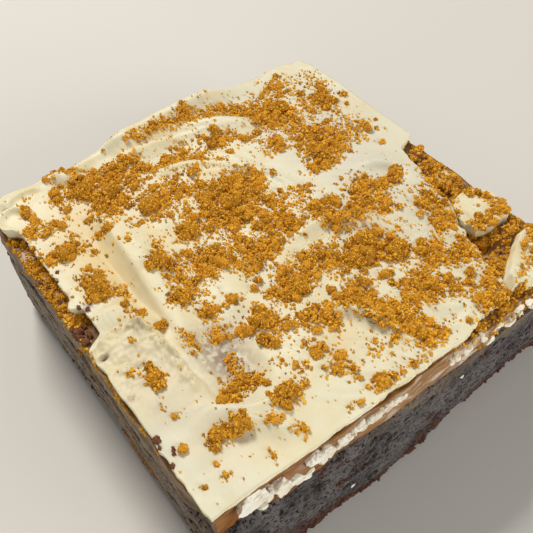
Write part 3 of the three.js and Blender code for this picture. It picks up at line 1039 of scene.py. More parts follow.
def crumb_ball(level: int, seed: int, unevenness: float, lobes: int = 14) -> tuple[Array, list[list[int]]]:
    """A crumb with lobes and dents.

    Args:
        level: Fineness of the icosphere that it starts from.
        seed: Which crumb to make.
        unevenness: How far its surface goes in and out, as a share of its radius.
        lobes: How many bulges it has.

    Returns:
        Its points about the origin, with radius about 1, and its faces.
    """
    points, faces = ICOSPHERES[level]
    near = np.linalg.norm(points[:, None, :] - directions(lobes, seed)[None, :, :], axis=2)
    bulge = np.exp(-((near * math.sqrt(lobes) / 1.9) ** 2)).max(axis=1)
    jitter = draw(np.arange(len(points)), 3, seed) - 0.5
    radius = 1 + unevenness * (1.6 * bulge - 0.9) + 0.4 * unevenness * jitter
    return points * radius[:, None], faces


def broken_lump(level: int, seed: int, planes: int = 11, grit: float = 0.05) -> tuple[Array, list[list[int]]]:
    """A chunk with flat broken faces.

    Args:
        level: Fineness of the icosphere that it is cut from.
        seed: Which chunk to make.
        planes: How many flat faces it has.
        grit: How rough the flat faces are, as a share of its radius.

    Returns:
        Its points about the origin, with radius about 1, and its faces.
    """
    points, faces = ICOSPHERES[level]
    facing = points @ directions(planes, seed).T
    far = 0.62 + 0.34 * draw(np.arange(planes), 5, seed)
    reach = np.where(facing > 0.05, far[None, :] / np.maximum(facing, 0.05), 9).min(axis=1)
    grain = rough(points[:, 0] * 4 + seed, points[:, 1] * 4 + points[:, 2] * 3, seed, 3)
    radius = np.minimum(reach, 1.25) * (1 + grit * grain)
    return points * radius[:, None], faces


# The spread


# How far down the spread shows, by the length along the walls from the near left corner.
SHOWS = (
    (0, 8), (8, 7.4), (14, 5.6), (24, 5.2), (28, 5), (33, 5.6), (38, 4.6), (45, 4.8),
    (54, 5.6), (62, 5.8), (72, 4), (80, 2.6), (290, 2.4),
)


@dataclass
class SpreadLayer:
    """The spread between fudge and white chocolate, with its smeared walls and torn corner."""

    slab: Slab
    steps: int = 230
    rows: int = 26
    top_rings: int = 44
    ring_gap: float = 0.4

    def shows(self, run: Array) -> Array:
        """How far below the white chocolate the spread shows on the walls, in millimetres."""
        level = np.interp(run, [mark[0] for mark in SHOWS], [mark[1] for mark in SHOWS])
        ragged = 1.8 * noise(run / 1.9, 0, 431) + 1.0 * noise(run / 0.6, 0, 432)
        return level + ragged * (0.4 + 0.6 * smooth(run, 24, 40))

    def tints(self, outline: Outline, run: Array, z: Array) -> dict[str, Array]:
        """The finish's attributes on the walls.

        Args:
            outline: The slab's outline.
            run: Length along the walls to each point.
            z: Height of each point.

        Returns:
            The attributes by name.
        """
        drag = Drag(self.slab)
        below = self.slab.spread_top - z
        film = smooth(below - self.shows(run)[None, :], -0.3, 0.9)
        on_left = drag.on_left(run)
        left_film = 0.9 * smooth(below + 0.5 * noise(run / 1.2, 0, 433), 0.25, 0.9)
        film = np.where(on_left > 0.5, 0, film)
        thick = np.exp(-(((run - 9) / 11) ** 2)) * (1 - smooth(below, 5.0, 7.5))
        streaks = rough(run / 4 + 0.4 * below, below / 0.5, 437, 3)
        caramel = thick + 0.7 * smooth(streaks, 0, 0.5)
        flecks = smooth(rough(run / 2.4 + 0.6 * below, below / 0.36, 435, 3), 0.05, 0.45)
        pale = flecks * np.exp(-(((run - 44) / 18) ** 2))
        v = 2 * (self.slab.width + self.slab.depth) - run
        under = smooth(below, 0.5, 1.5 + 0.8 * noise(v / 1.5, 0, 439))
        line = on_left * (1 - under) * np.exp(-(((v - 31) / 15) ** 4))
        grains = smooth(rough(v / 0.9, below / 0.9, 441, 3), -0.5, 0.2)
        gold = np.clip(line * grains + drag.gold(run, z), 0, 1)
        return {
            "film": film,
            "caramel": np.clip(caramel, 0, 1),
            "pale": 0.65 * pale * (1 - film),
            "drab": np.where(on_left > 0.5, left_film, 0),
            "gold": gold,
        }

    def build(self, material: bpy.types.Material) -> bpy.types.Object:
        """Builds the layer.

        Args:
            material: The spread's material.

        Returns:
            The finished piece.
        """
        slab, outline = self.slab, self.slab.outline(self.steps)
        run = outline.run(slab.width, slab.depth)
        seam = slab.seam(outline)
        share = np.linspace(0, 1, self.rows + 1)[:, None]
        z = seam[None, :] * (1 - share) + slab.spread_top * share
        is_left = smooth(-outline.x, slab.width / 2 - 12, slab.width / 2 - 6)
        near_corner = is_left * smooth(-outline.y, slab.depth / 2 - 9, slab.depth / 2 - 3)
        hollow = (1.2 - 0.7 * smooth(share, 0.7, 1)) * near_corner
        hollow = hollow + 0.9 * smooth(share, 0.35, 0.7) * np.exp(-(((run - 12) / 7) ** 4))
        smear = 0.55 * np.abs(noise(outline.along * 13, share * 3, 31))
        drag = 0.12 * rough(run / 0.9 + z / 3, z / 2.6, 401, 3) + 0.24 * rough(run / 4 + z, z / 0.6, 403, 3)
        torn_corner = np.exp(-(((run - 62) / 10) ** 2))
        frayed = torn_corner * (0.4 + 0.6 * rough(run / 1.3, z / 1.2, 405, 3))
        inset = smear + hollow + np.maximum(0.03, 0.18 + drag + frayed) + Drag(slab).grooves(run, z)
        inset = np.maximum(inset, 0.02) + slab.lean(outline, z)
        middle = (slab.base_left + slab.base_right) / 2
        rings = [outline.ring(slab.cap_inset + slab.lean(outline, seam), middle)]
        rings += [outline.ring(inset[k], z[k]) for k in range(self.rows + 1)]
        for k in range(1, self.top_rings + 1):
            ring = outline.ring(inset[-1] + k * self.ring_gap, slab.spread_top)
            bumps = rough(ring[:, 0] / 1.5, ring[:, 1] / 1.5, 421, 3)
            ring[:, 2] += np.minimum(0.3, 0.6 * bumps - 0.15) * smooth(k, 0, 3)
            u, v = ring[:, 0] + slab.width / 2, ring[:, 1] + slab.depth / 2
            ring[:, 2] -= 1.7 * bell(u, v, (60.5, 13), (2.2, 3.2))
            bare = smooth(u, 58, 61) * (1 - smooth(v, 38, 42)) * smooth(k, 1, 4)
            heaps = bare * (0.25 + 0.8 * rough(u / 1.6, v / 1.6, 425, 4))
            ring[:, 2] += heaps + 1.1 * bell(u, v, (66, 12), (3.4, 1.8))
            rings.append(ring)
        points, faces = loft(rings)
        piece = mesh_object("biscuit_spread", points, faces)
        for name, values in self.tints(outline, run, z).items():
            layer = np.zeros((len(rings), len(run)))
            layer[1 : self.rows + 2] = values
            if name == "caramel":
                layer[self.rows + 2 :] = 0.5
            set_attribute(piece, name, layer.ravel())
        return dress(piece, material, Slot.SPREAD, "spread_layer")


# The white chocolate


@dataclass(frozen=True)
class Stroke:
    """A spatula stroke: a ridge through three plan points, with its height and the widths
    of its slopes to the left and right of its run."""

    start: tuple[float, float]
    middle: tuple[float, float]
    end: tuple[float, float]
    height: float
    left: float
    right: float

    def relief(self, u: Array, v: Array, steps: int = 14) -> Array:
        """Height that the stroke adds.

        Args:
            u: Places along the front.
            v: Places to the back.
            steps: Straight pieces that its curve is cut into.

        Returns:
            The added height.
        """
        t = np.linspace(0, 1, steps + 1)
        weights = np.stack([(1 - t) * (1 - 2 * t), 4 * t * (1 - t), t * (2 * t - 1)], axis=1)
        curve = weights @ np.array([self.start, self.middle, self.end])
        nearest = np.full(u.shape, np.inf)
        result = np.zeros(u.shape)
        for k, (p, q) in enumerate(zip(curve[:-1], curve[1:])):
            run = q - p
            along = np.clip(((u - p[0]) * run[0] + (v - p[1]) * run[1]) / (run @ run), 0, 1)
            off_u, off_v = u - p[0] - along * run[0], v - p[1] - along * run[1]
            distance = np.hypot(off_u, off_v)
            place = (k + along) / steps
            width = np.where(run[0] * off_v > run[1] * off_u, self.left, self.right)
            ends = smooth(place, -0.03, 0.3) * smooth(1 - place, -0.03, 0.3)
            here = distance < nearest
            result = np.where(here, self.height * ends * np.exp(-((distance / width) ** 2)), result)
            nearest = np.minimum(nearest, distance)
        return result


@dataclass(frozen=True)
class Swell:
    """A broad hollow, dome or tinted spot of the top: centre, radii and height or strength."""

    at: tuple[float, float]
    radii: tuple[float, float]
    height: float


def swollen(swells: Iterable[Swell], u: Array, v: Array) -> Array:
    """The sum of some swells at plan places."""
    return sum(swell.height * bell(u, v, swell.at, swell.radii) for swell in swells)


STROKES = (
    Stroke((16.2, 64), (14.4, 38), (11.6, 14), 1.2, 3.6, 1.8),
    Stroke((2, 38), (9.8, 36.5), (10.8, 22), 0.9, 1.0, 3.6),
    Stroke((11, 17), (13, 10.5), (25, 8.5), 1.0, 1.3, 3.0),
    Stroke((10, 9.5), (14, 7), (18, 2), 0.5, 1.2, 1.8),
    Stroke((23.5, 73.4), (36, 75), (58, 72), 3.0, 4, 2.4),
    Stroke((24, 70.6), (38, 69.5), (53, 59), 1.5, 1.5, 2.2),
    Stroke((26, 62), (36, 58.5), (43, 48), 1.0, 1.1, 1.6),
    Stroke((39, 61), (43, 51), (46.5, 39), 0.7, 0.9, 1.2),
    Stroke((-0.6, 62), (2.4, 74), (13, 73.5), 1.7, 2.2, 1.5),
    Stroke((10, 74), (14.2, 73.5), (14.7, 67.5), 1.4, 1.3, 1.4),
    Stroke((14.5, 70), (22, 74), (31, 71.6), 1.1, 1.6, 1.6),
    Stroke((37, 31.5), (46, 31), (52, 22), 1.0, 1.1, 1.8),
    Stroke((28, 19), (36, 13.5), (38.5, 4), 1.1, 1.8, 1.1),
    Stroke((43, 10.5), (47, 6), (53, 3.5), 0.7, 1.3, 1.4),
    Stroke((54, 38), (61, 36), (62, 26), 0.9, 2.5, 1.4),
)
SWELLS = (
    Swell((16, 19), (4.5, 7.5), -1.5),
    Swell((11.6, 38), (2.2, 15), -0.8),
    Swell((55, 30), (8, 8), 0.6),
    Swell((20, 50), (6, 9), 0.35),
    Swell((33, 66), (7, 3), -0.6),
    Swell((30, 25), (9, 5), -0.4),
    Swell((62, 70), (9, 8), -0.7),
)
# Fine creases and drag lines that the spatula's edge left on the broad strokes.
CREASES = (
    Stroke((15.2, 58), (13.8, 42), (11.9, 24), 0.2, 0.5, 0.4),
    Stroke((17.9, 57), (16.5, 42), (14.2, 27), 0.12, 0.9, 0.4),
    Stroke((12.2, 58), (11.4, 44), (10.4, 32), -0.07, 0.6, 0.6),
    Stroke((41.4, 53), (42.2, 48), (43.6, 42.5), 0.2, 0.35, 0.7),
    Stroke((42.7, 53.5), (43.5, 48), (45, 42.5), -0.13, 0.3, 0.6),
    Stroke((39.8, 52), (40.6, 47), (42, 42), 0.08, 0.3, 0.5),
    Stroke((30, 59.4), (35.5, 56.4), (39.4, 51), 0.32, 0.5, 1.6),
    Stroke((17, 69.2), (32, 68.6), (49, 61.8), 0.45, 0.6, 1.8),
    Stroke((22, 73), (33, 70.6), (46, 66.5), -0.25, 0.7, 1.0),
    Stroke((11.2, 13.6), (14.4, 10.8), (20.5, 8.7), 0.5, 0.45, 1.3),
    Stroke((11.6, 12.6), (13.6, 8), (17.8, 1.8), 0.35, 0.4, 1.3),
    Stroke((20.6, 21), (20.7, 15), (19.6, 10), 0.22, 0.7, 1.4),
    Stroke((33.4, 16.4), (37, 11.4), (38.7, 2.6), 0.45, 0.5, 1.3),
    Stroke((43.6, 4.2), (46.5, 2.7), (49.6, 4.9), 0.35, 0.7, 0.45),
    Stroke((49.8, 30.5), (50.6, 26), (48.6, 21.6), 0.3, 0.5, 1.0),
    Stroke((50.4, 19.7), (54.5, 19), (58.4, 15.6), 0.4, 0.45, 1.1),
    Stroke((24, 12), (27.5, 9.5), (32, 9), 0.22, 0.5, 1.2),
    Stroke((36, 32.6), (43, 32), (49.5, 26), 0.3, 0.5, 1.2),
    Stroke((1.2, 68.9), (4.2, 70.5), (6.6, 66.4), 0.9, 0.5, 0.7),
    Stroke((0.7, 67.5), (2.4, 63.4), (1.8, 58.6), 0.7, 0.5, 0.7),
    Stroke((2.8, 71.8), (7.5, 73.4), (11, 71), 0.6, 0.6, 0.6),
    Stroke((13.4, 73.6), (13.1, 71), (14.8, 69.4), -0.6, 0.5, 0.5),
)
HOLLOWS = (
    Swell((46.2, 5.4), (2.4, 1.9), -0.5),
    Swell((16.4, 22.6), (2.6, 3.2), -0.35),
    Swell((1.7, 31.2), (0.7, 0.3), -0.9),
)
BREAK_LINE = (
    (54.5, -2), (57, 4), (57.6, 8), (58.6, 11), (59.6, 15),
    (62, 20), (62.4, 26), (64, 31), (65.5, 37), (74, 41),
)
# Where the white chocolate looks yellower: partly where it was spread thinly, partly painted warm shade on
# the shaded slope beside the long ridge and at the foot of the back ridge.
THIN_AND_WARM_SHADE = (
    Swell((10.8, 44), (4.2, 18), 0.56), Swell((8, 56), (8, 9), 0.3), Swell((24, 60), (9, 8), 0.3),
    Swell((34, 70.5), (12, 1.6), 0.5), Swell((53, 24), (5, 5), 0.35), Swell((30, 12), (5, 5), 0.35),
)
# Painted grey shade in the hollow right of the plate and down the right side, and a painted pale sheen on the
# plate at the front left.
SHADE_AND_SHEEN = (
    Swell((5, 16), (8, 16), 0.55),
    Swell((16.5, 20), (3.4, 6), 0.9),
    Swell((58, 42), (12, 32), 0.85),
)
# Lilac brown stains, where spread and fudge were drawn into the white chocolate.
STAINS = (
    Swell((8.3, 32.2), (0.9, 1.5), 0.7), Swell((7.2, 33.4), (0.7, 0.5), 0.6),
    Swell((1.6, 22.2), (1.3, 0.5), 0.7), Swell((4.0, 41.5), (1.3, 0.8), 0.8),
    Swell((5.0, 42.4), (0.7, 0.7), 0.8), Swell((1.7, 31.2), (0.9, 0.45), 1.0),
    Swell((6.2, 28.8), (1.2, 1.6), 0.3), Swell((2.6, 45.8), (1.0, 1.0), 0.7),
    Swell((0.8, 13.6), (0.3, 1.4), 0.5), Swell((13.8, 24.5), (1.4, 2.6), 0.22),
    Swell((4.2, 51.8), (0.6, 0.4), 0.6), Swell((2.2, 10.9), (0.9, 0.4), 0.35),
    Swell((3.2, 18.6), (1.6, 1.0), 0.16), Swell((22.6, 31.2), (0.5, 1.6), 0.3),
    Swell((2.6, 35.2), (1.4, 0.8), 0.35),
)


@dataclass(frozen=True)
class Shard:
    """A loose plate of white chocolate, pressed into the spread."""

    node: str
    outline: tuple[tuple[float, float], ...]
    at: tuple[float, float]
    thickness: float
    turn: tuple[float, float, float]
    sunk: float
    bevel: float = 0.0


SHARDS = (
    Shard(
        "shard_back",
        (
            (-4.5, -1.2), (-4.0, -3.3), (-1.4, -4.3), (2.4, -3.9), (4.5, -2.4),
            (4.5, 1.8), (2.9, 4.1), (0.4, 4.5), (-2.2, 4.2), (-3.4, 2.2),
        ),
        at=(65.2, 18.2),
        thickness=2.0,
        turn=(-0.04, 0.06, 0),
        sunk=0.1,
    ),
    Shard(
        "shard_front",
        (
            (-6.4, -2.6), (-3.2, -3.8), (1.6, -4.2), (4.8, -3.8), (5.2, 1.6),
            (4.6, 4.0), (1.2, 3.9), (-2.4, 1.6), (-6.2, -1.1),
        ),
        at=(64.1, 6.2),
        thickness=2.2,
        turn=(0.17, 0.12, 0),
        sunk=0.0,
        bevel=0.22,
    ),
    Shard(
        "shard_small",
        ((-1.7, -1.1), (0.7, -1.6), (1.8, 0.2), (0.3, 1.6), (-1.4, 1)),
        at=(66.6, 28.2),
        thickness=1.3,
        turn=(0.16, -0.22, 0.6),
        sunk=0.3,
    ),
)


@dataclass(frozen=True)
class Chip:
    """A chunk of white chocolate in the front wall, with its half sizes in millimetres."""

    u: float
    z: float
    across: float
    into: float
    tall: float
    seed: int

    def level(self) -> int:
        """How fine its mesh is: the finer, the larger the chunk."""
        return 4 if self.across > 0.8 else 3 if self.across > 0.42 else 2


# Chunks under the near edge: place along the front, height, half width and half height.
BLOCKS = (
    (6.9, 20.4, 2.2, 1.6), (9.4, 19.2, 0.9, 1.0), (11.2, 18.9, 1.4, 1.5), (13.6, 18.4, 1.2, 1.3),
    (15.6, 17.6, 0.8, 0.9), (8.2, 17.8, 0.7, 0.5), (17.6, 20.2, 1.5, 1.2), (19.6, 19.3, 0.9, 1.0),
    (18.4, 18.5, 0.6, 0.6), (22.3, 20.0, 0.9, 1.0), (25.0, 20.2, 1.0, 0.8), (28.0, 20.2, 1.2, 0.9),
)
SPECKS = (
    Chip(23.1, 5.9, 0.45, 0.35, 0.35, 721),
    Chip(45.3, 14.0, 0.5, 0.35, 0.4, 722),
    Chip(50.5, 18.6, 0.9, 0.4, 0.5, 723),
    Chip(54.2, 19.8, 1.2, 0.5, 0.4, 724),
)


@dataclass
class WhiteTop:
    """The swirled shell of white chocolate, with its broken corner, shards and chips."""

    slab: Slab
    columns: int = 262
    rows: int = 282
    rim_rows: int = 9
    undercut: float = 0.5
    setback: float = 2.3
    notch: float = 3.2
    least: float = 0.6
    roll_width: float = 2.4
    roll_drop: float = 1.1
    rim_step: float = 0.26  # mm between the points of the rim, about
    near_flakes: int = 74
    far_flakes: int = 34

    def height(self, u: Array, v: Array) -> Array:
        """Height of the surface at plan places, without its finest ripples."""
        z = self.slab.top + 0.35 * noise(u / 9, v / 9, 3) + 0.12 * noise(u / 3, v / 3, 4)
        for stroke in STROKES:
            z = z + stroke.relief(u, v)
        for swell in SWELLS:
            z = z + swell.height * bell(u, v, swell.at, swell.radii)
        z = z - self.roll_drop * (1 - smooth(self.slab.depth - v, 0, self.roll_width))
        return np.maximum(self.slab.spread_top + self.least, z)

    def plate(self, u: Array, v: Array) -> Array:
        """The raised plate at the front left with its ragged edge: 1 on it, 0 off it."""
        side = np.interp(v, [0, 14, 17, 22, 30, 34, 75], [11.4, 11.4, 11.5, 10.9, 10.6, 9.6, 9.6])
        side = side - u + 0.55 * rough(v / 1.5, u / 3, 507, 3)
        far = 35.6 - 0.35 * np.abs(u - 5) - v + 0.8 * rough(u / 1.4, v / 3, 508, 3)
        return smooth(side, -0.1, 0.45) * smooth(far, -0.2, 0.6) * smooth(v, 12, 21)

    def lip(self, u: Array, v: Array) -> Array:
        """The plate's torn lip, along its right and far edges, from 0 up."""
        right = 1.5 * np.exp(-(((u - 10.2) / 1.3) ** 2)) * smooth(v, 15, 21) * smooth(36 - v, 0, 3)
        return self.plate(u, v) * (right + np.exp(-(((v - 33.8) / 1.5) ** 2)))

    def ripples(self, u: Array, v: Array) -> Array:
        """Fine drag lines of the spatula, creases and the knobbly plate."""
        z = sum(crease.relief(u, v) for crease in CREASES)
        z = z + swollen(HOLLOWS, u, v)
        to_right = smooth(u, 16, 24)
        to_back = 0.25 + 0.75 * smooth(v, 10, 24)
        lengthways = rough((u + 0.07 * v) / 0.7, v / 18, 501, 3) * (1 - to_right) * to_back
        slant_u, slant_v = (u + v) * 0.7071, (v - u) * 0.7071
        slanting = rough(slant_u / 1.0, slant_v / 16, 505, 3) * to_right
        plate = self.plate(u, v)
        knobs = 0.5 * rough(u / 1.9, v / 1.5, 511, 4) + 0.3 * np.abs(rough(u / 0.9, v / 0.8, 512, 3))
        rim = self.lip(u, v) * (0.25 + 0.95 * np.abs(rough(u / 1.3, v / 1.2, 513, 3)))
        angle, reach = np.arctan2(v - 14, u - 9), np.hypot(u - 9, v - 14)
        drag = bell(u, v, (16, 23), (3.4, 4.5)) * np.sin(reach * 5.2 + 2.2 * angle + noise(u, v, 514))
        z = z + plate * (0.5 + knobs * smooth(v, 18, 27)) + rim
        grain = rough(u / 1.3, v / 1.3, 515, 3)
        return z + 0.05 * lengthways + 0.075 * slanting + 0.06 * drag + 0.035 * grain

    def tints(self, u: Array, v: Array, z: Array) -> dict[str, Array]:
        """The finish's attributes.

        Args:
            u: Places along the front.
            v: Places to the back.
            z: Heights.

        Returns:
            The attributes by name.
        """
        # Low places are tinted yellower: partly the thinner shell, partly painted warm shade.
        low = smooth(self.slab.top - 0.2 - z, 0, 1.4)
        plate = self.plate(u, v)
        thin_and_warm_shade = swollen(THIN_AND_WARM_SHADE, u, v) * (1 - plate) + 0.3 * plate + 0.12 * self.lip(u, v)
        clouds = 0.25 * smooth(rough(u / 7, v / 9, 541, 3), 0, 0.6)
        # Painted lilac shade in the hollow right of the plate, mixed in with the real stains.
        scoop_shade = bell(u, v, (16.2, 20.8), (3.2, 4.6))
        stain_and_shade = swollen(STAINS, u, v) + 0.75 * scoop_shade * (1 - plate)
        stain_and_shade = stain_and_shade * smooth(rough(u / 0.6, v / 0.6, 543, 2), -0.5, 0.25)
        stain_and_shade = stain_and_shade + 0.035 * np.minimum(1.2, drifted(u, v, 1.4))
        return {
            "thin_and_warm_shade": np.clip(0.3 * low + thin_and_warm_shade + clouds, 0, 1),
            # Painted shade in the hollow and on the right, painted sheen on the plate.
            "shade_and_sheen": np.clip(swollen(SHADE_AND_SHEEN, u, v), 0, 1),
            # Real stains and crumb dust, with painted shade in the hollow.
            "stain_and_shade": np.clip(stain_and_shade, 0, 1),
        }

    def left_edge(self, v: Array) -> Array:
        """How far the shell's left edge lies in from the wall."""
        ledge = self.setback * smooth(v, 42, 46) * smooth(68 - v, 0, 4)
        notch = self.notch * smooth(v, 34, 36.5) * smooth(44 - v, 0, 2)
        fine = 0.25 * np.abs(rough(v / 0.9, 0 * v, 521, 3)) * (0.4 + ledge)
        return 0.25 + ledge + notch + 0.35 * np.abs(noise(v / 2.2, 0, 14)) + np.minimum(fine, 0.5)

    def front_edge(self, u: Array) -> Array:
        """How far the shell's front edge lies in from the wall."""
        chipped = 1.5 * smooth(u, 45, 50)
        ragged = 0.25 + 0.75 * smooth(u, 17, 24)
        fine = 0.3 * np.abs(rough(u / 0.8, 0 * u, 525, 3)) * (1 + chipped)
        return 0.12 + chipped + (0.4 * np.abs(noise(u / 2.6, 0, 15)) + fine) * ragged

    def right_edge(self, v: Array) -> Array:
        """Where the shell ends on the right: at the break, then at the wall."""
        line = np.interp(v, [p[1] for p in BREAK_LINE], [p[0] for p in BREAK_LINE])
        jagged = line + 0.5 * rough(v / 1.6, 0 * v, 531, 3)
        return np.minimum(self.slab.width - self.slab.edge_gap, jagged)

    def build_shell(self, material: bpy.types.Material) -> bpy.types.Object:
        """Builds the shell.

        Args:
            material: The white chocolate's material.

        Returns:
            The finished piece.
        """
        slab = self.slab
        row_v = np.linspace(0, slab.depth, self.rows + 1)[:, None]
        share = np.linspace(0, 1, self.columns + 1)[None, :]
        left, right = self.left_edge(row_v), self.right_edge(row_v)
        u = left + (right - left) * share
        front = self.front_edge(u)
        v = front + (slab.depth - slab.edge_gap - front) * row_v / slab.depth
        z = self.height(u, v) + self.ripples(u, v)
        z = np.maximum(z, slab.spread_top + 0.35)
        x, y = slab.round_corners(*slab.plan(u, v), slab.corner_radius + slab.edge_gap)
        quads, rim = grid_faces(self.rows, self.columns)
        points = [np.stack([x, y, z], axis=-1).reshape(-1, 3)]
        edge = points[0][rim]
        faces = quads.tolist()
        above = rim
        count = len(rim)
        first = len(points[0])
        centre = edge[:, :2].mean(axis=0)
        way = centre - edge[:, :2]
        way = way / np.linalg.norm(way, axis=1)[:, None]
        for k in range(1, self.rim_rows + 1):
            share_down = k / self.rim_rows
            ring = edge.copy()
            ring[:, 2] = edge[:, 2] * (1 - share_down) + slab.spread_top * share_down
            run = np.arange(count) * self.rim_step
            dent = 0.08 + 0.14 * rough(run / 1.6, np.full(count, share_down * 2), 541, 3)
            dent = np.maximum(0, dent) + self.undercut * smooth(share_down, 0.35, 0.65)
            ring[:, :2] += way * dent[:, None]
            points.append(ring)
            below = np.arange(count) + first + (k - 1) * count
            faces += band(below, above).tolist()
            above = below
        faces.append(above[::-1].tolist())
        everything = np.concatenate(points)
        piece = mesh_object("swirled_white_chocolate", everything, faces)
        all_u, all_v = everything[:, 0] + slab.width / 2, everything[:, 1] + slab.depth / 2
        for name, values in self.tints(all_u, all_v, everything[:, 2]).items():
            values[first:] *= 0.3
            set_attribute(piece, name, values)
        under = np.zeros(len(everything))
        for k in range(self.rim_rows):
            ragged = rough(np.arange(count) * self.rim_step / 1.1, np.full(count, 0.5), 545, 3)
            level = (k + 1) / self.rim_rows + 0.12 * ragged
            thin_rim = bell(all_u[rim], all_v[rim], (8, 0), (9, 4))
            under[first + k * count : first + (k + 1) * count] = smooth(level + 0.3 * thin_rim, 0.68, 0.84)
        set_attribute(piece, "under", under)
        return dress(piece, material, Slot.WHITE, "white_shell")

    def build_shard(self, shard: Shard, material: bpy.types.Material, steps: int = 160) -> bpy.types.Object:
        """Builds one shard with a swirled face and broken edges.

        Args:
            shard: Which shard.
            material: The white chocolate's material.
            steps: Points round its outline.

        Returns:
            The finished piece.
        """
        corners = np.array(shard.outline + shard.outline[:1])
        lengths = np.concatenate([[0], np.cumsum(np.hypot(*np.diff(corners, axis=0).T))])
        at = np.linspace(0, lengths[-1], steps, endpoint=False)
        edge_u, edge_v = (np.interp(at, lengths, corners[:, n]) for n in (0, 1))
        crack = 1 + 0.05 * rough(at / 1.4, 0 * at, 551, 3)
        thick = shard.thickness
        bottom = [(s, 0.0) for s in np.linspace(0.08, 1, 12)]
        sides = [(1.0 + shard.bevel * (1 - t), thick * t) for t in np.linspace(0, 1, 8)[1:-1]]
        face = [(s, thick) for s in np.linspace(1, 0.05, 22)]
        rings = []
        for scale, z in bottom + sides + face:
            ring_u, ring_v = edge_u * scale * crack, edge_v * scale * crack
            ring = np.stack([ring_u, ring_v, np.full(steps, z)], axis=1)
            if 0 < z < thick or (z == thick and scale > 0.99):
                out = 1 + 0.035 * rough(at / 0.8, np.full(steps, z * 1.3), 555, 3)
                ring[:, :2] *= out[:, None]
            if z == thick:
                drag = rough(ring_u / 1.1, ring_v / 3, 565, 3)
                swirl = 0.35 * noise(ring_u / 3.5 + 3, ring_v / 3.5, 561) + 0.12 * drag
                round_off = 0.12 * smooth(scale, 0.95, 1.0)
                ring[:, 2] += swirl * smooth(1.02 - scale, 0, 0.2) - round_off
            rings.append(ring)
        points, faces = loft(rings)
        turned = points @ np.array(Euler(shard.turn).to_matrix()).T
        x, y = self.slab.plan(*shard.at)
        place = np.array([x, y, self.slab.spread_top - shard.sunk])
        piece = mesh_object("broken_" + shard.node, turned + place, faces)
        set_attribute(piece, "thin_and_warm_shade", 0.25 * smooth(noise(points[:, 0] / 2, points[:, 1] / 2, 567), -0.3, 0.6))
        return dress(piece, material, Slot.WHITE, shard.node)

    def flakes(self) -> list[Chip]:
        """The small flakes between the chunks, and along the front edge further right."""
        made = []
        for k in range(self.near_flakes):
            a, b, c = (float(draw(k, n, 571)) for n in range(3))
            size = 0.22 + 0.4 * b**1.5
            u = 5 + 12 * a if k < 14 else 18 + 15 * a
            if u < 17:
                z = 21.2 - 0.33 * (u - 5) + 1.4 * (c - 0.5)
            else:
                z = self.slab.spread_top - 0.6 - (2.6 - 0.1 * (u - 18)) * c
            made.append(Chip(u, z, size * 1.3, 0.7, size * 0.8, 572 + k))
        for k in range(self.far_flakes):
            a, b, c = (float(draw(k, n, 591)) for n in range(3))
            across, tall = 0.25 + 0.6 * b**2, 0.18 + 0.25 * b
            made.append(Chip(42 + 20 * a, 22.3 - 2.2 * c, across, 0.5, tall, 592 + k))
        return made

    def build_chips(self, material: bpy.types.Material) -> bpy.types.Object:
        """Builds the broken chunks and flakes in the front wall, under the near edge."""
        slab, heap = self.slab, Heap()
        chips = [Chip(u, z, across, 1.3, tall, 81 + k) for k, (u, z, across, tall) in enumerate(BLOCKS)]
        for chip in (*chips, *self.flakes(), *SPECKS):
            ball, triangles = broken_lump(chip.level(), chip.seed, 8, 0.22)
            x, y = slab.plan(chip.u, 0.62 * chip.into)
            to_right = float(smooth(x, -8, slab.width / 2))
            lean = slab.front_lean * to_right * (1 - chip.z / slab.spread_top)
            turned = ball @ np.array(Euler((0.9 * chip.seed, 0, 1.7 * chip.seed)).to_matrix()).T
            size = np.array([chip.across, chip.into, chip.tall])
            heap.add(turned * size + np.array([x, y + lean, chip.z]), triangles)
        piece = heap.joined("white_chips", is_smooth=False)
        set_attribute(piece, "thin_and_warm_shade", np.zeros(heap.count))
        return dress(piece, material, Slot.WHITE, "corner_chip")


# Biscuit crumbs


@dataclass(frozen=True)
class Drift:
    """A patch where crumbs lie: centre, radii and how thickly."""

    at: tuple[float, float]
    radii: tuple[float, float]
    weight: float


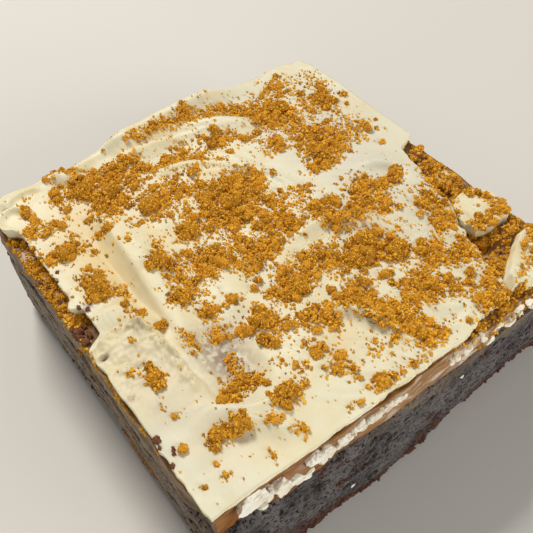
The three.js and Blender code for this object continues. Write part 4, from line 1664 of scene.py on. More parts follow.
# Each place, its radii along the front and to the back, and its weight.
DRIFT_ROWS = (
    # thin and broad
    (29, 14, 8, 9, 0.42), (35, 63, 10, 7, 0.5), (52, 31, 6, 7, 0.4), (33, 40, 12, 12, 0.2),
    (48, 13, 9, 10, 0.26), (22, 30, 5, 8, 0.2), (12, 57, 8, 12, 0.12), (5, 12, 5, 9, 0.1),
    # back left
    (14.9, 74.2, 2.2, 0.7, 1.3), (26.7, 74.2, 0.9, 0.5, 1.0), (7.4, 72, 1.1, 1.1, 0.8),
    (5.3, 70.3, 1, 0.7, 0.7), (12.8, 72, 0.7, 1.5, 1.0), (16.4, 72.4, 1.5, 1.2, 1.1),
    (11.2, 67.5, 1.2, 2.6, 1.3), (14, 67.5, 1.5, 2, 1.3), (17.4, 67.4, 2.6, 2.6, 2.0), (21, 68, 3, 1.8, 1.9),
    (24.4, 68.5, 1.5, 1.2, 1.2), (18.9, 64.6, 2, 2.4, 1.8), (23.5, 65.3, 1.9, 2.4, 1.5),
    (24.6, 62.3, 1.2, 1.2, 1.2), (27, 68.2, 1.8, 1, 1.1), (26.7, 65, 1.3, 0.9, 0.9),
    (18.1, 59.4, 2.8, 2.3, 2.0), (6, 66.7, 1, 2.2, 1.4), (4.9, 62.8, 2.1, 1.5, 1.7),
    (8.9, 62, 1.6, 1.2, 1.4), (2.6, 59, 0.8, 1.3, 1.0), (6.7, 55, 2.9, 1.9, 1.9), (9.9, 58.1, 0.7, 0.9, 0.9),
    (14.9, 54.9, 1.8, 0.7, 1.2), (18.9, 53.1, 1, 1.2, 1.0), (16.4, 49.7, 0.7, 1.6, 0.9),
    (24.9, 54.3, 2.8, 3.6, 1.7), (28.5, 58.1, 1.5, 1, 1.1), (30.6, 55.3, 0.9, 1.8, 1.1),
    # back right
    (33.1, 62.8, 3.6, 1.4, 1.3), (34.6, 58.1, 2, 1.2, 0.7), (39.2, 56.4, 0.9, 0.6, 0.9),
    (42.4, 61.7, 2.7, 1.6, 1.6), (32.4, 71.7, 2.6, 1.4, 1.4), (35.4, 72, 1.2, 1, 1.1),
    (40.3, 71.5, 3.2, 1.5, 1.4), (40.3, 69, 2, 0.8, 1.0), (46, 69.2, 3.4, 1.7, 1.4), (50.3, 66.7, 2, 2, 1.3),
    (53, 63.9, 3, 3.3, 1.5), (54, 59, 3, 2.8, 1.5), (48.5, 53.5, 2.4, 2.4, 1.2), (55.3, 52.4, 2.5, 3.6, 1.5),
    (54.6, 48, 3, 2.6, 1.5), (57, 46.5, 2.8, 2.8, 1.4), (53, 44, 3.3, 1.9, 1.3), (46.5, 58.5, 3, 1.2, 0.8),
    (60.5, 68, 4, 3, 1.1), (62.5, 58, 3.4, 5, 1.1), (63, 47.5, 3, 3.4, 1.1), (67, 64, 1.6, 5, 0.8),
    # middle
    (36, 51, 3.5, 1.8, 1.9), (34.6, 48.1, 4.4, 2.5, 2.0), (38.9, 47.4, 2.5, 2.5, 1.9),
    (31.7, 43.9, 2.8, 2.4, 1.8), (36, 42.4, 2, 1.5, 1.4), (41.7, 49.6, 1.2, 1.6, 1.3),
    (32.8, 53.5, 2, 1.1, 1.4), (25.3, 45.3, 1.7, 2.1, 1.8), (19.6, 46, 1.4, 1.6, 0.8),
    (18.1, 42.1, 1.9, 1.8, 1.8), (7.1, 47.8, 1.5, 1.3, 1.5), (7.3, 43.9, 2, 2.4, 1.7),
    (10.6, 41, 0.8, 1.5, 1.2), (3.9, 38.8, 0.8, 0.6, 0.8), (23.1, 38.1, 3.5, 2.5, 2.0),
    (24.6, 36.2, 1.8, 1.4, 1.6), (29.6, 36.7, 2.5, 2.4, 1.5), (31.7, 33.9, 2.7, 2.2, 1.4),
    (28.5, 32.1, 1.7, 1.4, 1.1), (36, 38.9, 1.6, 1.6, 1.4), (38.9, 36.4, 2.3, 2.5, 1.8),
    (34.9, 34.6, 1.6, 1.6, 1.2), (17.4, 37.8, 1.4, 1.2, 0.7), (16.7, 33.5, 1.7, 1.7, 1.8),
    (19.2, 34.9, 0.8, 1.5, 1.3), (20.6, 32.4, 0.8, 0.8, 1.1), (6.7, 31, 0.6, 0.8, 1.1),
    (9.6, 35.3, 0.9, 1.5, 1.3), (11.4, 31, 1.1, 0.9, 1.5), (18.9, 28.9, 1.5, 1.2, 1.7),
    (23.5, 28.3, 0.8, 0.7, 1.5), (44.6, 35.3, 1.8, 1.5, 1.4), (47.4, 35.3, 1.2, 1, 1.2),
    (44.9, 31, 1.9, 1.8, 1.4), (48.1, 30.3, 2.5, 2, 1.7), (53.9, 33.9, 2.2, 2.3, 1.6),
    (53.1, 28.9, 1.9, 1.7, 1.4), (58.1, 31.5, 1.8, 1.4, 0.9), (46, 40.5, 2.4, 1.6, 1.0),
    (41, 41.5, 2, 2, 1.0),
    # front left
    (13.1, 26, 0.9, 2.3, 1.5), (17.4, 24.9, 1.7, 1.2, 1.5), (21, 22.8, 1.1, 1.1, 1.2),
    (24.7, 22.4, 1.7, 1.9, 1.8), (3.6, 26.1, 0.8, 0.8, 1.4), (5.8, 23, 1.1, 1.7, 1.8),
    (16.7, 18.9, 1.2, 1.9, 1.6), (14.9, 16, 2.1, 1.1, 1.5), (13.6, 13.9, 2.8, 1.0, 1.9),
    (17.1, 14.8, 1.2, 0.9, 1.6), (4.2, 18.1, 0.6, 0.6, 1.2), (4.9, 15.9, 0.9, 0.5, 1.2),
    (7.8, 9.6, 1.3, 1.3, 1.7), (10.6, 8.9, 2, 1.5, 1.9), (19.2, 8.9, 2.2, 1.6, 1.9),
    (15.3, 6.7, 0.9, 0.8, 1.6), (5.3, 4.2, 0.9, 0.7, 1.3), (1.8, 4.6, 0.6, 0.8, 1.1),
    (5.6, 6.4, 0.5, 0.5, 1.1), (12.1, 2.8, 0.5, 0.8, 1.3), (17.1, 3.5, 0.9, 1.1, 1.5),
    # front middle
    (28.5, 25.3, 1.2, 1.2, 1.3), (26.6, 28.4, 0.9, 0.6, 0.9), (33.1, 27.4, 2.9, 1.6, 1.6),
    (31.7, 24.2, 1.9, 1.9, 1.9), (34.9, 25.3, 1.9, 2.1, 1.6), (38.3, 25.3, 2.5, 2.3, 1.7),
    (38.9, 27.4, 2.5, 1.4, 1.4), (23.1, 18.1, 1.2, 1.2, 1.3), (26.7, 18.9, 1.9, 1.1, 1.3),
    (29.6, 17.8, 1.3, 1.1, 1.2), (31.7, 16.5, 1.1, 1.8, 1.3), (21.4, 14.9, 1.1, 0.6, 1.0),
    (23.5, 11.7, 1.1, 0.9, 1.3), (27.4, 11.7, 0.8, 0.6, 1.0), (27.4, 8.4, 1.7, 0.9, 1.3),
    (28.7, 6.2, 0.8, 1.3, 1.2), (33.9, 7.4, 1.2, 1.1, 1.3), (36.7, 6.2, 0.8, 0.8, 1.1),
    (25.3, 1.7, 1.6, 0.5, 1.2), (30.3, 2, 1.5, 1, 1.5), (33.1, 2.2, 2.1, 0.8, 1.4),
    (36.7, 1.8, 1.7, 0.6, 1.2),
    # front right
    (46, 24.6, 2.7, 1.5, 1.8), (43.9, 21.7, 2.1, 1.8, 2.0), (48.5, 20.3, 1.9, 2.5, 2.0),
    (41.7, 23.1, 1.5, 1.4, 1.5), (59.6, 23.9, 1.7, 2.4, 1.5), (59.2, 20.3, 2.4, 1.5, 1.8),
    (57.4, 18.1, 1.9, 1.1, 1.1), (38.9, 18.1, 2, 1.4, 1.4), (37.4, 15.6, 2.5, 1.9, 1.7),
    (38.9, 12.4, 1.9, 2.3, 1.7), (39.2, 8.9, 1.8, 1.9, 1.6), (40.6, 6.4, 1.9, 1.9, 1.6),
    (41.7, 3.3, 2.5, 1.6, 1.8), (44.6, 16.7, 1.5, 0.7, 0.9), (46.7, 12.4, 2.5, 1.7, 1.8),
    (43.1, 9.6, 1.9, 1.5, 1.5), (47.4, 9.6, 2.5, 1.4, 1.8), (50.6, 7.6, 1.6, 1, 1.2),
    (53.1, 16.7, 1.9, 1.3, 1.4), (52.4, 13.9, 2.4, 1.7, 1.6), (56.7, 12.4, 2.3, 2.1, 1.9),
    (53.1, 3.9, 2.9, 1.5, 1.8), (51.7, 1.9, 1.8, 0.6, 1.4), (56, 6.4, 1.8, 1.2, 1.4),
    (55, 2.6, 1.4, 1.2, 1.3),
    # broken corner
    (64.6, 27.4, 2.2, 3.3, 1.9), (61.7, 13.6, 2.2, 1.8, 1.9), (64.6, 15.6, 2.9, 1.2, 2.0),
    (68, 17.6, 1.2, 2, 1.6), (60.5, 8, 1.6, 2.4, 1.5), (66.6, 8.6, 2.2, 1.8, 1.7),
    (66.4, 4.4, 2.2, 1.8, 1.5), (63.6, 22.4, 0.8, 0.9, 1.2), (63.2, 4.4, 2.2, 1.2, 1.1),
    (59.2, 5.4, 1.4, 2.6, 1.2), (67.4, 21.6, 0.9, 0.8, 1.2), (67.6, 32.4, 1.4, 2, 1.2),
)
DRIFTS = tuple(Drift((u, v), (ru, rv), w) for u, v, ru, rv, w in DRIFT_ROWS)


def drifted(u: Array, v: Array, reach: float) -> Array:
    """How thickly the drifts lie at plan places, with their radii made larger by reach."""
    return sum(d.weight * bell(u, v, d.at, (d.radii[0] * reach, d.radii[1] * reach)) for d in DRIFTS)


# The largest clumps: u, v and size.
CLUMPS = (
    (7.3, 44.6, 2.1), (24.3, 22.3, 2.0), (25, 45.3, 1.9), (17.8, 42, 1.7), (19.0, 8.9, 1.6),
    (11.2, 8.6, 1.6), (7.8, 9.7, 1.2), (5.6, 22.9, 1.5), (43.5, 22, 2.1), (46.5, 24.5, 2.0),
    (48.6, 19.4, 2.0), (31.8, 24, 1.9), (60, 33, 1.6), (17, 33.5, 1.6), (16.4, 15.6, 1.1), (23.6, 55, 2.0),
    (7, 55, 1.8), (35, 47, 2.1), (16, 66, 1.9), (20, 63, 1.8), (56, 62, 2.0),
)
# The dark fudge bits in the notch, on the ledge and along the near left edge: u, v and size.
BITS = (
    (0.9, 14.6, 0.75), (1.8, 11.3, 0.45), (0.7, 9.9, 0.4), (2.1, 11.9, 0.3), (0.6, 13.3, 0.4),
    (1.0, 39.6, 1.0), (2.3, 38.6, 0.7), (1.2, 37.6, 0.7), (2.5, 40.6, 0.6), (0.7, 41.0, 0.6),
    (1.6, 46.8, 0.9), (2.4, 47.8, 0.6), (1.0, 45.6, 0.5), (1.5, 51.5, 0.6), (0.9, 53.6, 0.5),
    (3.9, 51.9, 0.4), (4.2, 41.4, 0.5), (5.1, 42.5, 0.4), (3.2, 42.6, 0.4), (1.9, 58.5, 0.5),
    (1.7, 39.9, 0.6),
)


@dataclass(frozen=True)
class CrumbScatter:
    """Crumbs of one kind, strewn over a surface by Geometry Nodes."""

    name: str
    seed: int
    density: float  # crumbs on a square millimetre where the weight is 1
    smallest: float  # radii in mm
    largest: float
    lift: float  # how far they lie above their bed, in mm
    level: int = 0  # fineness of a crumb's mesh
    kinds: int = 8
    unevenness: float = 0.45
    tilt: float = math.pi  # how far they lean from upright, in radians
    flatness: float = 0.9

    def tree(self) -> bpy.types.NodeTree:
        """The node tree that strews, turns and sizes the crumbs."""
        tree = bpy.data.node_groups.new(self.name + "_strewn", "GeometryNodeTree")
        face = tree.interface
        face.new_socket("Geometry", in_out="INPUT", socket_type="NodeSocketGeometry")
        for title, kind in (
            ("Density", "NodeSocketFloat"),
            ("Smallest", "NodeSocketFloat"),
            ("Largest", "NodeSocketFloat"),
            ("Lift", "NodeSocketFloat"),
            ("Tilt", "NodeSocketFloat"),
            ("Seed", "NodeSocketInt"),
            ("Crumbs", "NodeSocketCollection"),
            ("Material", "NodeSocketMaterial"),
        ):
            face.new_socket(title, in_out="INPUT", socket_type=kind)
        face.new_socket("Geometry", in_out="OUTPUT", socket_type="NodeSocketGeometry")
        given = add_node(tree, "NodeGroupInput").outputs
        weight = add_node(tree, "GeometryNodeInputNamedAttribute", {"Name": "crumbs"}, data_type="FLOAT")
        density = combine(tree, "MULTIPLY", weight.outputs[0], given["Density"])
        strewn = add_node(
            tree,
            "GeometryNodeDistributePointsOnFaces",
            {"Mesh": given["Geometry"], "Density": density, "Seed": given["Seed"]},
            distribute_method="RANDOM",
        )
        pile = self.chance(tree, {2: -0.2, 3: 1.0, "Seed": given["Seed"]})
        rise = combine(tree, "MULTIPLY", pile, given["Lift"])
        offset = add_node(
            tree, "ShaderNodeVectorMath", {0: strewn.outputs["Normal"], "Scale": rise}, operation="SCALE"
        )
        raised = add_node(
            tree,
            "GeometryNodeSetPosition",
            {"Geometry": strewn.outputs["Points"], "Offset": offset.outputs[0]},
        )
        turn = add_node(
            tree,
            "FunctionNodeRandomValue",
            {0: (-1, -1, -1), 1: (1, 1, 1), "Seed": given["Seed"]},
            data_type="FLOAT_VECTOR",
        )
        lean = add_node(tree, "ShaderNodeCombineXYZ", {0: given["Tilt"], 1: given["Tilt"], 2: math.pi})
        turned = add_node(
            tree, "ShaderNodeVectorMath", {0: turn.outputs[0], 1: lean.outputs[0]}, operation="MULTIPLY"
        )
        skew = combine(tree, "POWER", self.chance(tree, {2: 0.0, 3: 1.0, "Seed": 3}), 2.0)
        span = combine(tree, "SUBTRACT", given["Largest"], given["Smallest"])
        size = combine(tree, "MULTIPLY_ADD", skew, span, given["Smallest"])
        kinds = add_node(
            tree,
            "GeometryNodeCollectionInfo",
            {"Collection": given["Crumbs"], "Separate Children": True, "Reset Children": True},
        )
        placed = add_node(
            tree,
            "GeometryNodeInstanceOnPoints",
            {
                "Points": raised.outputs[0],
                "Instance": kinds.outputs[0],
                "Pick Instance": True,
                "Rotation": turned.outputs[0],
                "Scale": size,
            },
        )
        tone = self.chance(tree, {2: 0.0, 3: 1.0, "Seed": 8})
        toned = add_node(
            tree,
            "GeometryNodeStoreNamedAttribute",
            {"Geometry": placed.outputs[0], "Name": "tone", "Value": tone},
            data_type="FLOAT",
            domain="INSTANCE",
        )
        real = add_node(tree, "GeometryNodeRealizeInstances", {0: toned.outputs[0]})
        dressed = add_node(
            tree,
            "GeometryNodeSetMaterial",
            {"Geometry": real.outputs[0], "Material": given["Material"]},
        )
        add_node(tree, "NodeGroupOutput", {0: dressed.outputs[0]})
        return tree

    def chance(self, tree: bpy.types.NodeTree, inputs: dict[Any, Any]) -> Any:
        """A random number for each point: inputs 2 and 3 are its least and its most."""
        return add_node(tree, "FunctionNodeRandomValue", inputs, data_type="FLOAT").outputs[1]

    def crumbs(self) -> bpy.types.Collection:
        """The kinds of crumb that are strewn, 1 metre in radius before they are sized."""
        shelf = bpy.data.collections.new(self.name + "_kinds")
        for k in range(self.kinds):
            points, faces = crumb_ball(self.level, self.seed * 10 + k, self.unevenness, 7)
            stretch = (0.75 + 0.5 * draw(np.arange(3), k, self.seed)) * np.array([1, 1, self.flatness])
            mesh = bpy.data.meshes.new(f"{self.name}_{k}")
            mesh.from_pydata((points * stretch).tolist(), [], faces)
            shelf.objects.link(bpy.data.objects.new(f"{self.name}_kind_{k}", mesh))
        return shelf

    def strew(self, bed: bpy.types.Mesh, material: bpy.types.Material, slot: Slot) -> bpy.types.Object:
        """Strews the crumbs.

        Args:
            bed: What they lie on. Its points hold the attribute "crumbs".
            material: The crumbs' material.
            slot: The record's slot of their finish.

        Returns:
            The finished piece.
        """
        shelf, tree = self.crumbs(), self.tree()
        holder = bpy.data.objects.new(self.name + "_bed", bed)
        bpy.context.scene.collection.objects.link(holder)
        modifier = holder.modifiers.new("strewn", "NODES")
        modifier.node_group = tree
        values = {
            "Density": self.density / MM**2,
            "Smallest": self.smallest * MM,
            "Largest": self.largest * MM,
            "Lift": self.lift * MM,
            "Tilt": self.tilt,
            "Seed": self.seed,
            "Crumbs": shelf,
            "Material": material,
        }
        for item in tree.interface.items_tree:
            if item.in_out == "INPUT" and item.name in values:
                modifier[item.identifier] = values[item.name]
        shown = holder.evaluated_get(bpy.context.evaluated_depsgraph_get())
        mesh = bpy.data.meshes.new_from_object(shown)
        bpy.data.objects.remove(holder)
        for crumb in list(shelf.objects):
            bpy.data.objects.remove(crumb)
        bpy.data.collections.remove(shelf)
        piece = bpy.data.objects.new(self.name, mesh)
        bpy.context.scene.collection.objects.link(piece)
        return dress(piece, material, slot)


CLUSTERS = CrumbScatter(
    "crumb_clusters", 12, 0.7, 0.32, 0.95, 0.12, level=2, kinds=10, unevenness=0.4, tilt=0.5, flatness=0.75
)
MIDDLING = CrumbScatter("crumb_middling", 16, 2.15, 0.18, 0.4, 0.18, level=1)
SMALL = CrumbScatter("crumb_small", 15, 3.4, 0.13, 0.28, 0.14)
DUST = CrumbScatter("crumb_dust", 11, 2.0, 0.07, 0.15, 0.05, kinds=6, unevenness=0.4, flatness=1.0)
FINE_GRAINS = CrumbScatter("crumb_grains_fine", 13, 4.1, 0.13, 0.24, 0.1, unevenness=0.4, flatness=1.0)
COARSE_GRAINS = CrumbScatter(
    "crumb_grains_coarse", 14, 1.1, 0.18, 0.3, 0.1, level=1, unevenness=0.4, flatness=1.0
)
BAKED_GRAINS = CrumbScatter("baked_grains", 19, 4.0, 0.13, 0.32, 0.12, kinds=6)
TORN_FUDGE = CrumbScatter("torn_fudge_crumbs", 17, 1.8, 0.12, 0.42, 0.04, level=1, unevenness=0.5)
EDGE_CRUMBS = CrumbScatter("crumb_edge", 18, 2.6, 0.14, 0.36, 0.05, level=1)


@dataclass
class CrumbTopping:
    """All the biscuit crumbs: clusters, their grains, loose dust and the largest clumps."""

    slab: Slab
    top: WhiteTop

    def weight(self, u: Array, v: Array, reach: float = 1.0, patch: float = 1.5, stray: float = 0.0) -> Array:
        """How thickly crumbs lie at plan places.

        Args:
            u: Places along the front.
            v: Places to the back.
            reach: How far the drifts spread, as a share of their radii.
            patch: Size of the patches that they break up into, in mm.
            stray: Weight far from any drift.

        Returns:
            The weight, from 0 up.
        """
        thick = np.minimum(drifted(u, v, reach), 2.4)
        patches = smooth(rough(u / patch, v / patch, 601, 3) + 0.9 * thick - 0.35, 0, 0.35)
        return np.minimum(2.0, patches * (0.2 + 1.0 * thick) + stray)

    def fine_weight(self, u: Array, v: Array) -> Array:
        """How thickly small crumbs lie: wider than the clusters, in smaller patches."""
        return self.weight(u, v, 1.18, 0.7, 0.004)

    def middling_weight(self, u: Array, v: Array) -> Array:
        """How thickly middling crumbs lie: a little wider than the clusters."""
        return self.weight(u, v, 1.16, 1.0)

    def on_shard(self, u: Array, v: Array) -> Array:
        """How thickly crumbs lie on the shards: not on the bright broken edge."""
        off_edge = (u - 57.5) * 0.58 - (v - 5.0) * 0.82
        thick = np.maximum(self.weight(u, v, 1.1, 1.0), 0.35 * (v < 11))
        return np.where((v < 11) & (off_edge < 1.6), 0, thick)

    def ledge(self, u: Array, v: Array) -> Array:
        """How thickly crumbs lie on the spread that the white chocolate leaves bare."""
        left = (self.top.left_edge(v) + 0.4 - u > 0) & (v > 41) & (v < 67)
        corner = (u > self.top.right_edge(v) - 0.3) & (v < 42)
        near = (v < self.top.front_edge(u) + 0.3) & (u > 43) & ~corner
        patches = smooth(rough(u / 1.3, v / 1.3, 607, 3), -0.5, 0.1)
        bare = bell(u, v, (60.8, 10.2), (1.4, 2.0))
        on_corner = np.maximum(self.weight(u, v), patches) * (1 - bare)
        thick = np.where(left, 1.9 * patches, 0) + np.where(corner, on_corner, 0)
        return thick + np.where(near, 0.9 * patches, 0)

    def bed(
        self, surfaces: Sequence[tuple[bpy.types.Object, Weigh]], lowest: float, margin: float = 0.45
    ) -> bpy.types.Mesh:
        """Joins surfaces to one bed for crumbs, with their weights.

        Args:
            surfaces: Each surface, and the weight over plan places.
            lowest: How far a face may turn from up, as its normal's least height.
            margin: How far they stay in from the cut walls.

        Returns:
            The bed's mesh.
        """
        points, faces, weights, start = [], [], [], 0
        for surface, weigh in surfaces:
            mesh = surface.data
            here = points_of(surface)
            normals = np.zeros(len(here) * 3, np.float32)
            mesh.vertices.foreach_get("normal", normals)
            width, depth = self.slab.width, self.slab.depth
            u, v = here[:, 0] + width / 2, here[:, 1] + depth / 2
            inside = (u > margin) & (u < width - margin) & (v > margin) & (v < depth - margin)
            inside &= normals.reshape(-1, 3)[:, 2] > lowest
            room = smooth(CAD_BOX[1][2] / MM - here[:, 2], 0.15, 0.7)
            mesh.calc_loop_triangles()
            corners = np.zeros(len(mesh.loop_triangles) * 3, np.int32)
            mesh.loop_triangles.foreach_get("vertices", corners)
            points.append(here)
            faces.append(corners.reshape(-1, 3) + start)
            weights.append(np.where(inside, weigh(u, v) * room, 0))
            start += len(here)
        made = bpy.data.meshes.new("bed")
        made.from_pydata((np.concatenate(points) * MM).tolist(), [], np.concatenate(faces).tolist())
        layer = made.attributes.new("crumbs", "FLOAT", "POINT")
        layer.data.foreach_set("value", np.concatenate(weights).astype(np.float32))
        return made

    def build_clumps(self, material: bpy.types.Material) -> bpy.types.Object:
        """Builds the largest clumps, each of a few rough lobes."""
        heap, tones = Heap(), []
        for number, (u, v, size) in enumerate(CLUMPS):
            lobes = 4 if size > 1.8 else 3
            turn = float(draw(number, 0, 611)) * math.tau
            ground = float(self.top.height(np.array([u]), np.array([v]))[0])
            for k in range(lobes):
                angle = turn + k * math.tau / lobes
                away = 0.42 * size * (0.8 + 0.4 * float(draw(number, k, 613)))
                radius = size * (0.62 - 0.05 * k)
                ball, triangles = crumb_ball(3, 620 + number * 7 + k, 0.3, 26)
                x, y = self.slab.plan(u + away * math.cos(angle), v + away * math.sin(angle))
                middle = np.array([x, y, ground + size * (0.32 - 0.07 * k)])
                heap.add(ball * radius * np.array([1.05, 1, 0.85]) + middle, triangles)
                tones.append(np.full(len(ball), 0.2 + 0.3 * float(draw(number, k, 615))))
        piece = heap.joined("crumb_clumps")
        set_attribute(piece, "tone", np.concatenate(tones))
        return dress(piece, material, Slot.BISCUIT)

    def build_bits(self, material: bpy.types.Material) -> bpy.types.Object:
        """Builds the dark fudge bits in the notch, on the ledge and along the near left edge."""
        heap = Heap()
        for number, (u, v, size) in enumerate(BITS):
            ground = self.slab.spread_top
            if u > float(self.top.left_edge(np.array([v]))[0]):
                ground = float(self.top.height(np.array([u]), np.array([v]))[0])
            ball, triangles = crumb_ball(3, 640 + number, 0.55, 16)
            stretch = np.array([0.7, 1.1, 0.6]) * (0.85 + 0.3 * draw(np.arange(3), number, 641))
            x, y = self.slab.plan(u, v)
            heap.add(ball * size * stretch + np.array([x, y, ground + 0.1 * size]), triangles)
        piece = heap.joined("fudge_bits")
        set_attribute(piece, "tone", draw(np.arange(heap.count), 0, 643))
        return dress(piece, material, Slot.FUDGE)

    def build(
        self,
        shell: bpy.types.Object,
        spread: bpy.types.Object,
        shards: Sequence[bpy.types.Object],
        material: bpy.types.Material,
        painted_shade_heart: bpy.types.Material,
        torn: bpy.types.Material,
    ) -> list[bpy.types.Object]:
        """Strews clusters over shell, shards and bare spread, and grains over the clusters.

        Args:
            shell: The shell of white chocolate.
            spread: The spread.
            shards: The shards.
            material: The crumbs' material.
            painted_shade_heart: The material of clusters and clumps, between the grains on them: a darker
                copy of the crumbs' material that paints the shade in the gaps between grains.
            torn: The torn fudge crumb's material.

        Returns:
            The finished pieces.
        """
        upward = 0.3

        def beds(weigh: Weigh) -> list[tuple[bpy.types.Object, Weigh]]:
            """The surfaces of the top, with a weight for the shell."""
            return [(shell, weigh), (spread, self.ledge)] + [(shard, self.on_shard) for shard in shards]

        lumps = CLUSTERS.strew(self.bed(beds(self.weight), upward), painted_shade_heart, Slot.BISCUIT)
        clumps = self.build_clumps(painted_shade_heart)
        made = [lumps, clumps, self.build_bits(torn)]
        beside = [(surface, self.near(weigh)) for surface, weigh in beds(self.weight)]
        made.append(DUST.strew(self.bed(beside, upward), material, Slot.BISCUIT))
        for kind, weigh in ((MIDDLING, self.middling_weight), (SMALL, self.fine_weight)):
            made.append(kind.strew(self.bed(beds(weigh), upward), material, Slot.BISCUIT))
        for kind in (FINE_GRAINS, COARSE_GRAINS):
            heaps = self.bed([(lumps, self.even), (clumps, self.even)], -0.1)
            made.append(kind.strew(heaps, material, Slot.BISCUIT))
        return made

    def build_torn(
        self,
        fudge: bpy.types.Object,
        spread: bpy.types.Object,
        dark: bpy.types.Material,
        golden: bpy.types.Material,
    ) -> list[bpy.types.Object]:
        """Strews what crumbled off over the torn parts of the cut faces.

        Args:
            fudge: The fudge base.
            spread: The spread.
            dark: The torn fudge crumb's material.
            golden: The biscuit crumbs' material.

        Returns:
            The finished pieces.
        """
        torn = attribute_of(fudge, "torn")
        z = points_of(spread)[:, 2]

        def on_torn(u: Array, v: Array) -> Array:
            """How thickly fudge crumbs lie, by how torn the wall is."""
            return 1.2 * smooth(torn, 0.35, 0.9)

        def under_edge(u: Array, v: Array) -> Array:
            """How thickly biscuit crumbs stick to the spread under the top's edges."""
            left = (u < 1.5) * smooth(z, 20.2, 21.2) * np.exp(-(((v - 31) / 14.5) ** 4))
            at_wall = (v < 2.5) | (u > self.slab.width - 1.5)
            corner = at_wall * bell(u, v, (61, 0), (11, 16)) * smooth(z, 17.5, 19.5)
            patches = smooth(rough(v / 1.3 + u, z / 0.9, 609, 3), -0.35, 0.15)
            return (1.6 * left + 0.8 * corner) * patches

        made = [TORN_FUDGE.strew(self.bed([(fudge, on_torn)], -0.8, -1), dark, Slot.FUDGE)]
        made.append(EDGE_CRUMBS.strew(self.bed([(spread, under_edge)], -0.8, -1), golden, Slot.BISCUIT))
        return made

    def build_baked(
        self, lumps: Sequence[bpy.types.Object], material: bpy.types.Material
    ) -> bpy.types.Object:
        """Strews grains over the biscuit that the walls lay open."""
        bed = self.bed([(lump, self.even) for lump in lumps], -0.9, -1)
        return BAKED_GRAINS.strew(bed, material, Slot.BISCUIT)

    def even(self, u: Array, v: Array) -> Array:
        """A weight of 1 everywhere."""
        return np.ones_like(u)

    def near(self, weigh: Weigh) -> Weigh:
        """The weight of loose dust beside clusters of a given weight, with a few strays."""

        def dusty(u: Array, v: Array) -> Array:
            """How thickly dust lies, from the weight on four sides."""
            around = sum(weigh(u + a, v + b) for a, b in ((0.7, 0), (-0.7, 0), (0, 0.7), (0, -0.7))) / 4
            return 0.7 * around + 0.006

        return dusty


# Studio


@dataclass(frozen=True)
class Lamp:
    """A square soft light: its place and side in millimetres, its watts and sRGB colour."""

    name: str
    at: tuple[float, float, float]
    size: float
    power: float
    colour: str


LAMPS = (
    Lamp("window", (60, 540, 660), 240, 6.25, "fffaf0"),
    Lamp("fill", (-420, -240, 300), 420, 0.5, "f8f4ec"),
    Lamp("front", (190, -470, 170), 320, 1.8, "fffdf8"),
)


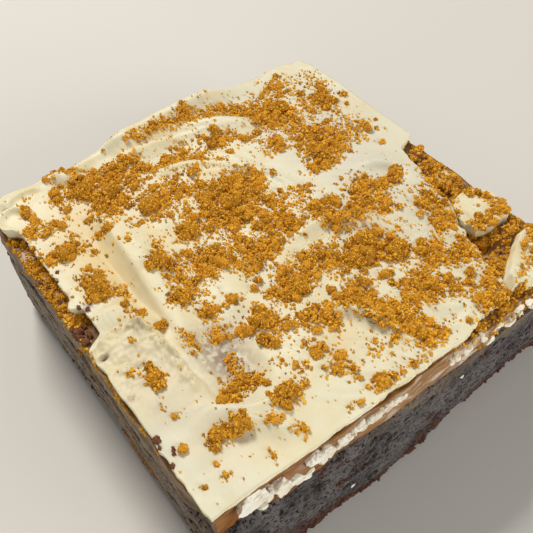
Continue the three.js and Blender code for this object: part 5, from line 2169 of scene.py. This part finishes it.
@dataclass
class Studio:
    """Camera, lights and floor."""

    slab: Slab
    eye: tuple[float, float, float] = (-48.0, -85.4, 123.9)
    aim: tuple[float, float, float] = (-4.1, -7.0, 24.0)
    roll: float = 8.39  # degrees, the head leaning right
    lens: float = 56.96
    floor_size: float = 3000.0
    sky: str = "e8e8ea"
    sky_strength: float = 0.16

    def camera(self) -> None:
        """Places the camera at the photograph's viewing angle."""
        data = bpy.data.cameras.new("camera")
        data.lens, data.sensor_width = self.lens, 36.0
        data.clip_start, data.clip_end = 0.01, 20.0
        seen = bpy.data.objects.new("camera", data)
        bpy.context.scene.collection.objects.link(seen)
        eye, aim = Vector(self.eye) * MM, Vector(self.aim) * MM
        turn = (aim - eye).to_track_quat("-Z", "Y").to_matrix().to_4x4()
        seen.matrix_world = Matrix.Translation(eye) @ turn @ Matrix.Rotation(math.radians(-self.roll), 4, "Z")
        bpy.context.scene.camera = seen

    def light(self, lamp: Lamp) -> None:
        """Adds a light that faces the brownie."""
        data = bpy.data.lights.new(lamp.name, "AREA")
        data.size, data.energy, data.color = lamp.size * MM, lamp.power, linear(lamp.colour)[:3]
        hung = bpy.data.objects.new(lamp.name, data)
        bpy.context.scene.collection.objects.link(hung)
        place = Vector(lamp.at) * MM
        hung.location = place
        hung.rotation_mode = "QUATERNION"
        to_top = Vector((0, 0, self.slab.top * MM)) - place
        hung.rotation_quaternion = to_top.to_track_quat("-Z", "Y")

    def build(self) -> None:
        """Builds the studio."""
        self.camera()
        for lamp in LAMPS:
            self.light(lamp)
        half = self.floor_size / 2
        corners = np.array([[-half, -half, 0], [half, -half, 0], [half, half, 0], [-half, half, 0]])
        floor = mesh_object("floor", corners, [[0, 1, 2, 3]], is_smooth=False)
        floor.data.materials.append(FloorFinish().material())
        world = bpy.data.worlds.new("studio")
        bpy.context.scene.world = world
        world.use_nodes = True
        background = world.node_tree.nodes["Background"].inputs
        background["Color"].default_value = linear(self.sky)
        background["Strength"].default_value = self.sky_strength
        bpy.context.scene.view_settings.view_transform = "Standard"


def main() -> None:
    """Builds every piece in order."""
    logging.basicConfig(level=logging.INFO, format="%(name)s %(message)s")
    slab = Slab.from_frame()
    Studio(slab).build()
    fudge = FudgeFinish().material()
    spread = SpreadFinish().material()
    white = WhiteFinish().material()
    broken = WhiteFinish(name="broken_white_chocolate", cream="f8f3e4", warm="efe4cb").material()
    crumb = CrumbFinish().material()
    # A darker copy of the crumb finish: painted shade in the gaps between the grains on clusters and clumps.
    painted_shade_heart = CrumbFinish(name="crumb_heart_painted_shade", light="e09e2a", deep="7c4804").material()
    baked = CrumbFinish(name="baked_biscuit_in_fudge", light="bb8b52", deep="5f3b1b").material()
    bits = CrumbFinish(name="torn_fudge_crumb", light="8a583e", deep="3c1f14").material()
    crumbled = CrumbFinish(name="crumbled_fudge", light="6a4232", deep="2b140e").material()
    base = FudgeBase(slab).build(fudge)
    lumps = BiscuitPieces(slab).build(baked)
    layer = SpreadLayer(slab).build(spread)
    top = WhiteTop(slab)
    shell = top.build_shell(white)
    shards = [top.build_shard(shard, white) for shard in SHARDS]
    top.build_chips(broken)
    topping = CrumbTopping(slab, top)
    topping.build(shell, layer, shards, crumb, painted_shade_heart, bits)
    topping.build_baked(lumps, baked)
    topping.build_torn(base, layer, crumbled, crumb)


if __name__ == "__main__":
    main()
